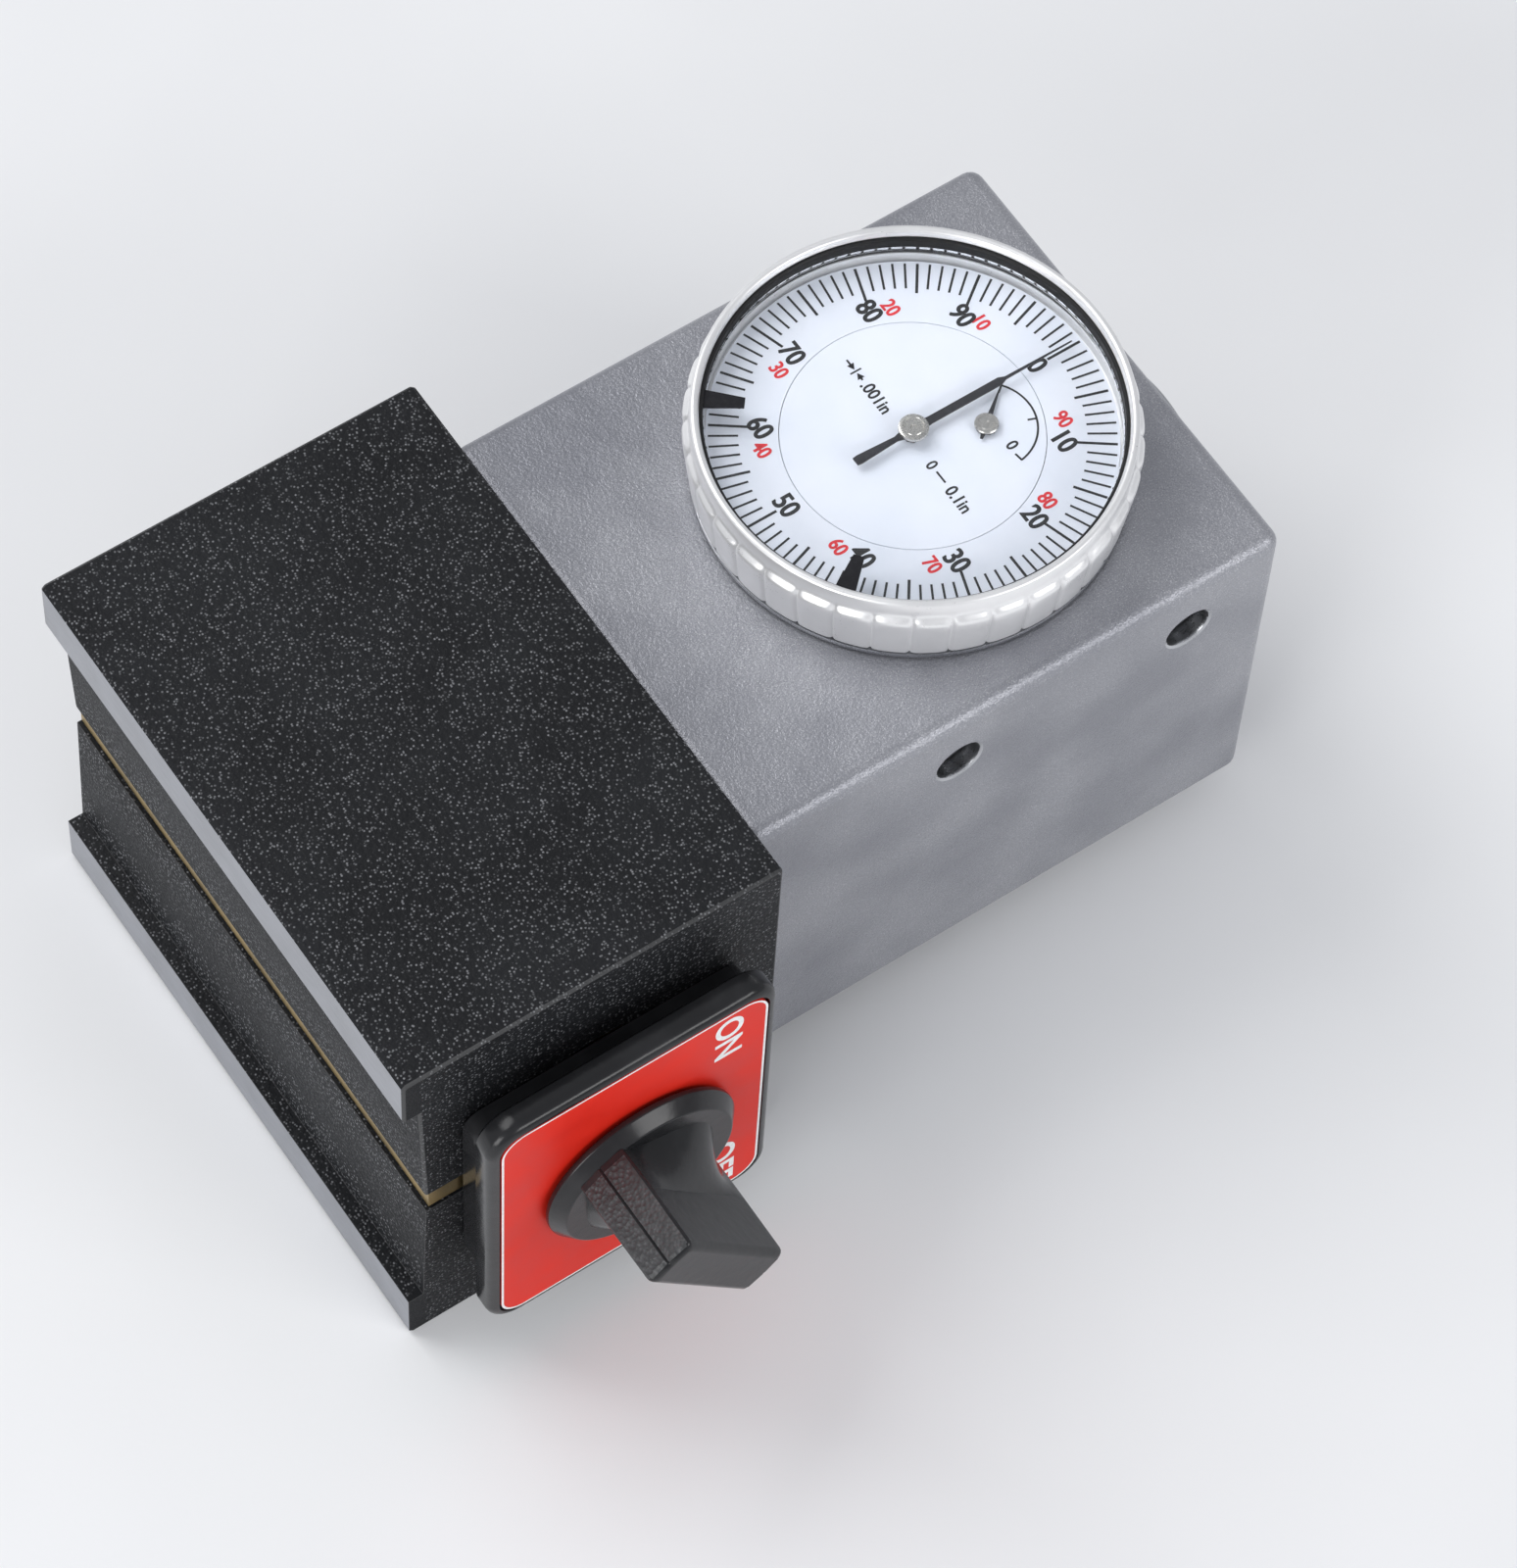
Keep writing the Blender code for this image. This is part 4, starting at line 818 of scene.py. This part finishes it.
def dial_parts():
    centre = (DIAL.x, DIAL.y, 0)
    low, high = low_high("crystal_gasket")
    outer = (high.x - low.x) / 2
    bm = bmesh.new()
    top = BEZEL[1].z - 0.8
    lathe(bm, fillet([(19.15, low.z), (outer, low.z), (outer, top), (19.3, top), (19.15, top - 0.15)],
                     0.05, 2), centre, ON_Z, 160)
    piece("window_gasket", bm, "bezel_ring", [RUBBER], "crystal_gasket")
    low, high = low_high("crystal")
    outer = (high.x - low.x) / 2
    bm = bmesh.new()
    lathe(bm, fillet([(0, low.z), (outer, low.z), (outer, high.z), (0, high.z)], 0.12, 3, closed=False),
          centre, ON_Z, 160)
    piece("window_glass", bm, "bezel_ring", [GLASS], "crystal", sharp=10.0, weighted=False)
    low, high = RING
    outer = (high.x - low.x) / 2
    bm = bmesh.new()
    lathe(bm, fillet([(12.2, low.z), (outer, low.z), (outer, high.z), (12.2, high.z)], 0.05, 2),
          centre, ON_Z, 200)
    piece("scale_plate", bm, "bezel_ring", [WHITE], "scale_ring")
    low, high = low_high("inner_dial")
    outer = (high.x - low.x) / 2 + 0.09
    bm = bmesh.new()
    lathe(bm, fillet([(0, high.z - 0.5), (outer, high.z - 0.5), (outer, high.z), (0, high.z)], 0.05, 2,
                     closed=False), centre, ON_Z, 200)
    for degrees in (50, 150, 245):
        a = math.radians(degrees)
        lathe(bm, [(0, low.z), (1.2, low.z), (1.2, high.z - 0.4), (0, high.z - 0.4)],
              (DIAL.x + 9.0 * math.cos(a), DIAL.y + 9.0 * math.sin(a), 0), ON_Z, 24)
    piece("dial_plate", bm, "base", [WHITE], "inner_dial")
    low, high = low_high("dial_case")
    bm = bmesh.new()
    face = BLOCK[1].z
    profile = fillet([(0, face + 0.4), (13.4, face + 0.4), (13.4, low.z), (14.9, low.z), (14.9, face + 0.3),
                      (20.3, face + 0.3), (20.3, face + 0.8), (18.6, face + 0.8), (18.6, high.z),
                      (17.4, high.z), (17.4, face + 1.6), (0, face + 1.6)], 0.1, 2, closed=False)
    lathe(bm, profile, centre, ON_Z, 128)
    piece("dial_cup", bm, "base", [TURNED], "dial_case")


def flat(bm, corners, z):
    """A flat face at one height."""
    bm.faces.new([bm.verts.new((x, y, z)) for x, y in corners])


def tick(bm, centre, angle, inner, outer, width, z):
    """A mark along a radius; width is measured across it."""
    c, s = math.cos(angle), math.sin(angle)
    points = [(inner, -width), (outer, -width), (outer, width), (inner, width)]
    flat(bm, [(centre.x + r * c - w / 2 * s, centre.y + r * s + w / 2 * c) for r, w in points], z)


def figure(bm, body, height, centre, up, right, stress):
    """A number whose upright strokes are the heavier ones."""
    for shift, lift in ((-stress / 2, 0.0), (stress / 2, 0.001)):
        lettering(bm, body, height, Vector(centre) + right * shift + Vector((0, 0, lift)), up, right,
                  bold=0.018, width=0.80)


def scale():
    """A hundred marks, black figures clockwise and red figures the other way."""
    z = DIAL_FACE + PRINT_LIFT
    up, right = Vector((1, 0, 0)), Vector((0, -1, 0))
    black, red = bmesh.new(), bmesh.new()
    for n in range(100):
        inner = 14.95 if n % 10 == 0 else 15.35 if n % 5 == 0 else 15.85
        tick(black, DIAL, -math.radians(3.6 * n), inner, TICKS_END, 0.27 if n % 5 == 0 else 0.22, z)
    for n in range(0, 100, 10):
        a = -math.radians(3.6 * n)
        at = (DIAL.x + FIGURES * math.cos(a), DIAL.y + FIGURES * math.sin(a), z)
        figure(black, str(n), 2.05, at, up, right, 0.09)
    for number, degrees in ((90, -25.9), (80, -63.2), (70, -117.5), (60, -153.6), (40, 153.8), (30, 117.2),
                            (20, 63.7), (10, 28.1)):
        a = math.radians(degrees)
        at = (DIAL.x + FIGURES * math.cos(a), DIAL.y + FIGURES * math.sin(a), z)
        figure(red, str(number), 1.5, at, up, right, 0.06)
    piece("scale_figures", black, "bezel_ring", [BLACK_INK], weighted=False)
    piece("scale_red_figures", red, "bezel_ring", [RED_INK], weighted=False)


def inner_printing():
    """The unit, the range and the small dial's arc; places are from the dial's middle."""
    z = DIAL_FACE + PRINT_LIFT
    up, right = Vector((1, 0, 0)), Vector((0, -1, 0))
    bm = bmesh.new()
    for body, height, x, y in ((".001in", 1.3, -0.5, 5.1), ("0", 1.2, -0.4, -3.6),
                               ("0.1in", 1.3, -0.45, -7.9), ("0", 1.25, 6.95, -5.8)):
        lettering(bm, body, height, (DIAL.x + x, DIAL.y + y, z), up, right, bold=0.025, width=0.9)

    def shape(*corners):
        flat(bm, [(DIAL.x + x, DIAL.y + y) for x, y in corners], z)

    def bar(x, y0, y1, thick=0.2):
        shape((x - thick / 2, y0), (x + thick / 2, y0), (x + thick / 2, y1), (x - thick / 2, y1))

    def head(x, y, length, half=0.38):
        shape((x, y), (x + half, y + length), (x - half, y + length))

    bar(-0.45, -4.4, -5.8)
    bar(-0.5, 9.9, 8.8)
    head(-0.5, 8.62, 0.7)
    shape((-1.1, 8.52), (0.1, 8.52), (0.1, 8.34), (-1.1, 8.34))
    head(-0.5, 8.22, -0.7)
    bar(-0.5, 8.0, 7.3)
    arc_from, arc_to, arc_steps = 38, -82, 40
    outer, inner = (arc((REV.x, REV.y), radius, arc_from, arc_to, arc_steps) for radius in (4.80, 4.60))
    loops = [[bm.verts.new((x, y, z)) for x, y in line] for line in (outer, inner)]
    for i in range(arc_steps):
        bm.faces.new((loops[0][i], loops[0][i + 1], loops[1][i + 1], loops[1][i]))
    for degrees in (arc_from, (arc_from + arc_to) / 2, arc_to):
        tick(bm, REV, math.radians(degrees), 3.85, 4.75, 0.2, z)
    piece("dial_printing", bm, "base", [BLACK_INK], weighted=False)


def hubs():
    """The turned hubs of the two hands; the hands are CAD nodes, dressed by dress_frame."""
    low, high = low_high("pointer_hub")
    bm = bmesh.new()
    z, r = high.z, (high.x - low.x) / 2
    profile = [(0, z - 0.12), (0.22, z - 0.12), (0.28, z - 0.02), (0.85, z - 0.02), (0.9, z - 0.07),
               (1.0, z - 0.07), (1.05, z), (r - 0.12, z), (r - 0.03, z - 0.04), (r, z - 0.12),
               (r, z - 0.36), (0.95, z - 0.36), (0.95, low.z), (0.8, low.z), (0.8, z - 0.7), (0, z - 0.7)]
    lathe(bm, profile, (DIAL.x, DIAL.y, 0), ON_Z, 96)
    piece("pointer_boss", bm, "pointer_arbor", [NICKEL], "pointer_hub", sharp=40.0)
    low, high = REV_HUB
    bm = bmesh.new()
    z, r = high.z, (high.x - low.x) / 2
    profile = [(0, z - 0.08), (0.2, z - 0.08), (0.25, z - 0.01), (0.7, z - 0.01), (0.73, z - 0.05),
               (0.8, z - 0.05), (0.83, z), (r - 0.08, z), (r, z - 0.08), (r, z - 0.18), (0.74, z - 0.18),
               (0.74, low.z), (0.6, low.z), (0.6, z - 0.18), (0, z - 0.18)]
    lathe(bm, profile, (REV.x, REV.y, 0), ON_Z, 72)
    piece("small_hand_boss", bm, "revolution_gear", [NICKEL], "rev_hub", sharp=40.0)


# Stage

def area_light(name, place, target, size, power):
    light = bpy.data.lights.new(name, "AREA")
    light.shape = "RECTANGLE"
    light.size, light.size_y = size
    light.energy = power
    made = bpy.data.objects.new(name, light)
    bpy.context.collection.objects.link(made)
    made.location = place
    made.rotation_euler = (Vector(target) - Vector(place)).to_track_quat("-Z", "Y").to_euler()


def floor():
    """Pale paper, just under the tool."""
    bm = bmesh.new()
    bmesh.ops.create_grid(bm, x_segments=48, y_segments=48, size=3.0)
    mesh = bpy.data.meshes.new("floor")
    bm.to_mesh(mesh)
    bm.free()
    p = Paint("floor_paper", (0.86, 0.865, 0.875), 0.7)
    p.set("Base Color", p.blend(p.span(p.noise(60.0, 3.0), 0.3, 0.7), (0.84, 0.845, 0.855),
                                (0.88, 0.885, 0.895)))
    p.bump(p.noise(0.8, 2.0), 0.01)
    mesh.materials.append(p.mat)
    made = bpy.data.objects.new("floor", mesh)
    bpy.context.collection.objects.link(made)
    made.location.z = CAD_BOX[0].z - 0.1 * MM


def studio():
    """An even sky and three soft lamps, set out in metres from the middle of the tool."""
    world = bpy.data.worlds.new("studio")
    bpy.context.scene.world = world
    world.use_nodes = True
    background = world.node_tree.nodes["Background"]
    background.inputs["Color"].default_value = (0.93, 0.95, 1.0, 1.0)
    background.inputs["Strength"].default_value = 0.50
    bpy.context.scene.view_settings.view_transform = "Standard"
    middle = (CAD_BOX[0] + CAD_BOX[1]) / 2
    area_light("key", middle + Vector((-0.25, 0.55, 0.75)), middle, (0.6, 0.6), 4.0)
    area_light("front", middle + Vector((0.35, -0.85, 0.50)), middle, (0.6, 0.3), 3.0)
    area_light("left", middle + Vector((-0.7, -0.25, 0.3)), middle, (0.4, 0.4), 2.5)


def camera():
    """A high view over the switch's corner, aimed near the middle of the tool."""
    place = CAMERA_PLACE * MM
    aim = (CAD_BOX[0] + CAD_BOX[1]) / 2 + CAMERA_AIM * MM
    turn = CAMERA_FORWARD.rotation_difference((aim - place).normalized())
    right, forward = turn @ CAMERA_RIGHT, turn @ CAMERA_FORWARD
    up = right.cross(forward)
    lens = bpy.data.cameras.new("camera")
    lens.sensor_fit = "AUTO"
    lens.sensor_width = 36.0
    lens.lens = 150.0
    lens.clip_start, lens.clip_end = 0.01, 20.0
    made = bpy.data.objects.new("camera", lens)
    bpy.context.collection.objects.link(made)
    axes = Matrix((right, up, -forward)).transposed().to_4x4()
    made.matrix_world = Matrix.Translation(place) @ axes
    bpy.context.scene.camera = made


PLAIN = {
    "brass": BRASS, "dark_steel": DARK, "magnet": MAGNET, "ground_steel": TURNED, "nickel": NICKEL,
    "spring_steel": SPRING, "black_paint": SAND, "silver_paint": SILVER, "black_plastic": PLASTIC,
    "red_label": FILM, "satin_chrome": CHROME, "dial_white": WHITE, "pointer_black": BLUED,
    "crystal": GLASS, "rubber": RUBBER,
}


def dress_frame():
    """Give every CAD node the finish of its slot in the record."""
    for part in frame["record"]["subparts"]:
        shown = frame["nodes"][part["node"]]
        for held in shown.material_slots:
            held.material = PLAIN[part["material_slot"]]


def main():
    camera()
    dress_frame()
    magnetic_base()
    switch_frame()
    switch_knob()
    indicator_block()
    back_cover()
    fasteners()
    turned_parts()
    bezel()
    dial_parts()
    scale()
    inner_printing()
    hubs()
    floor()
    studio()


main()
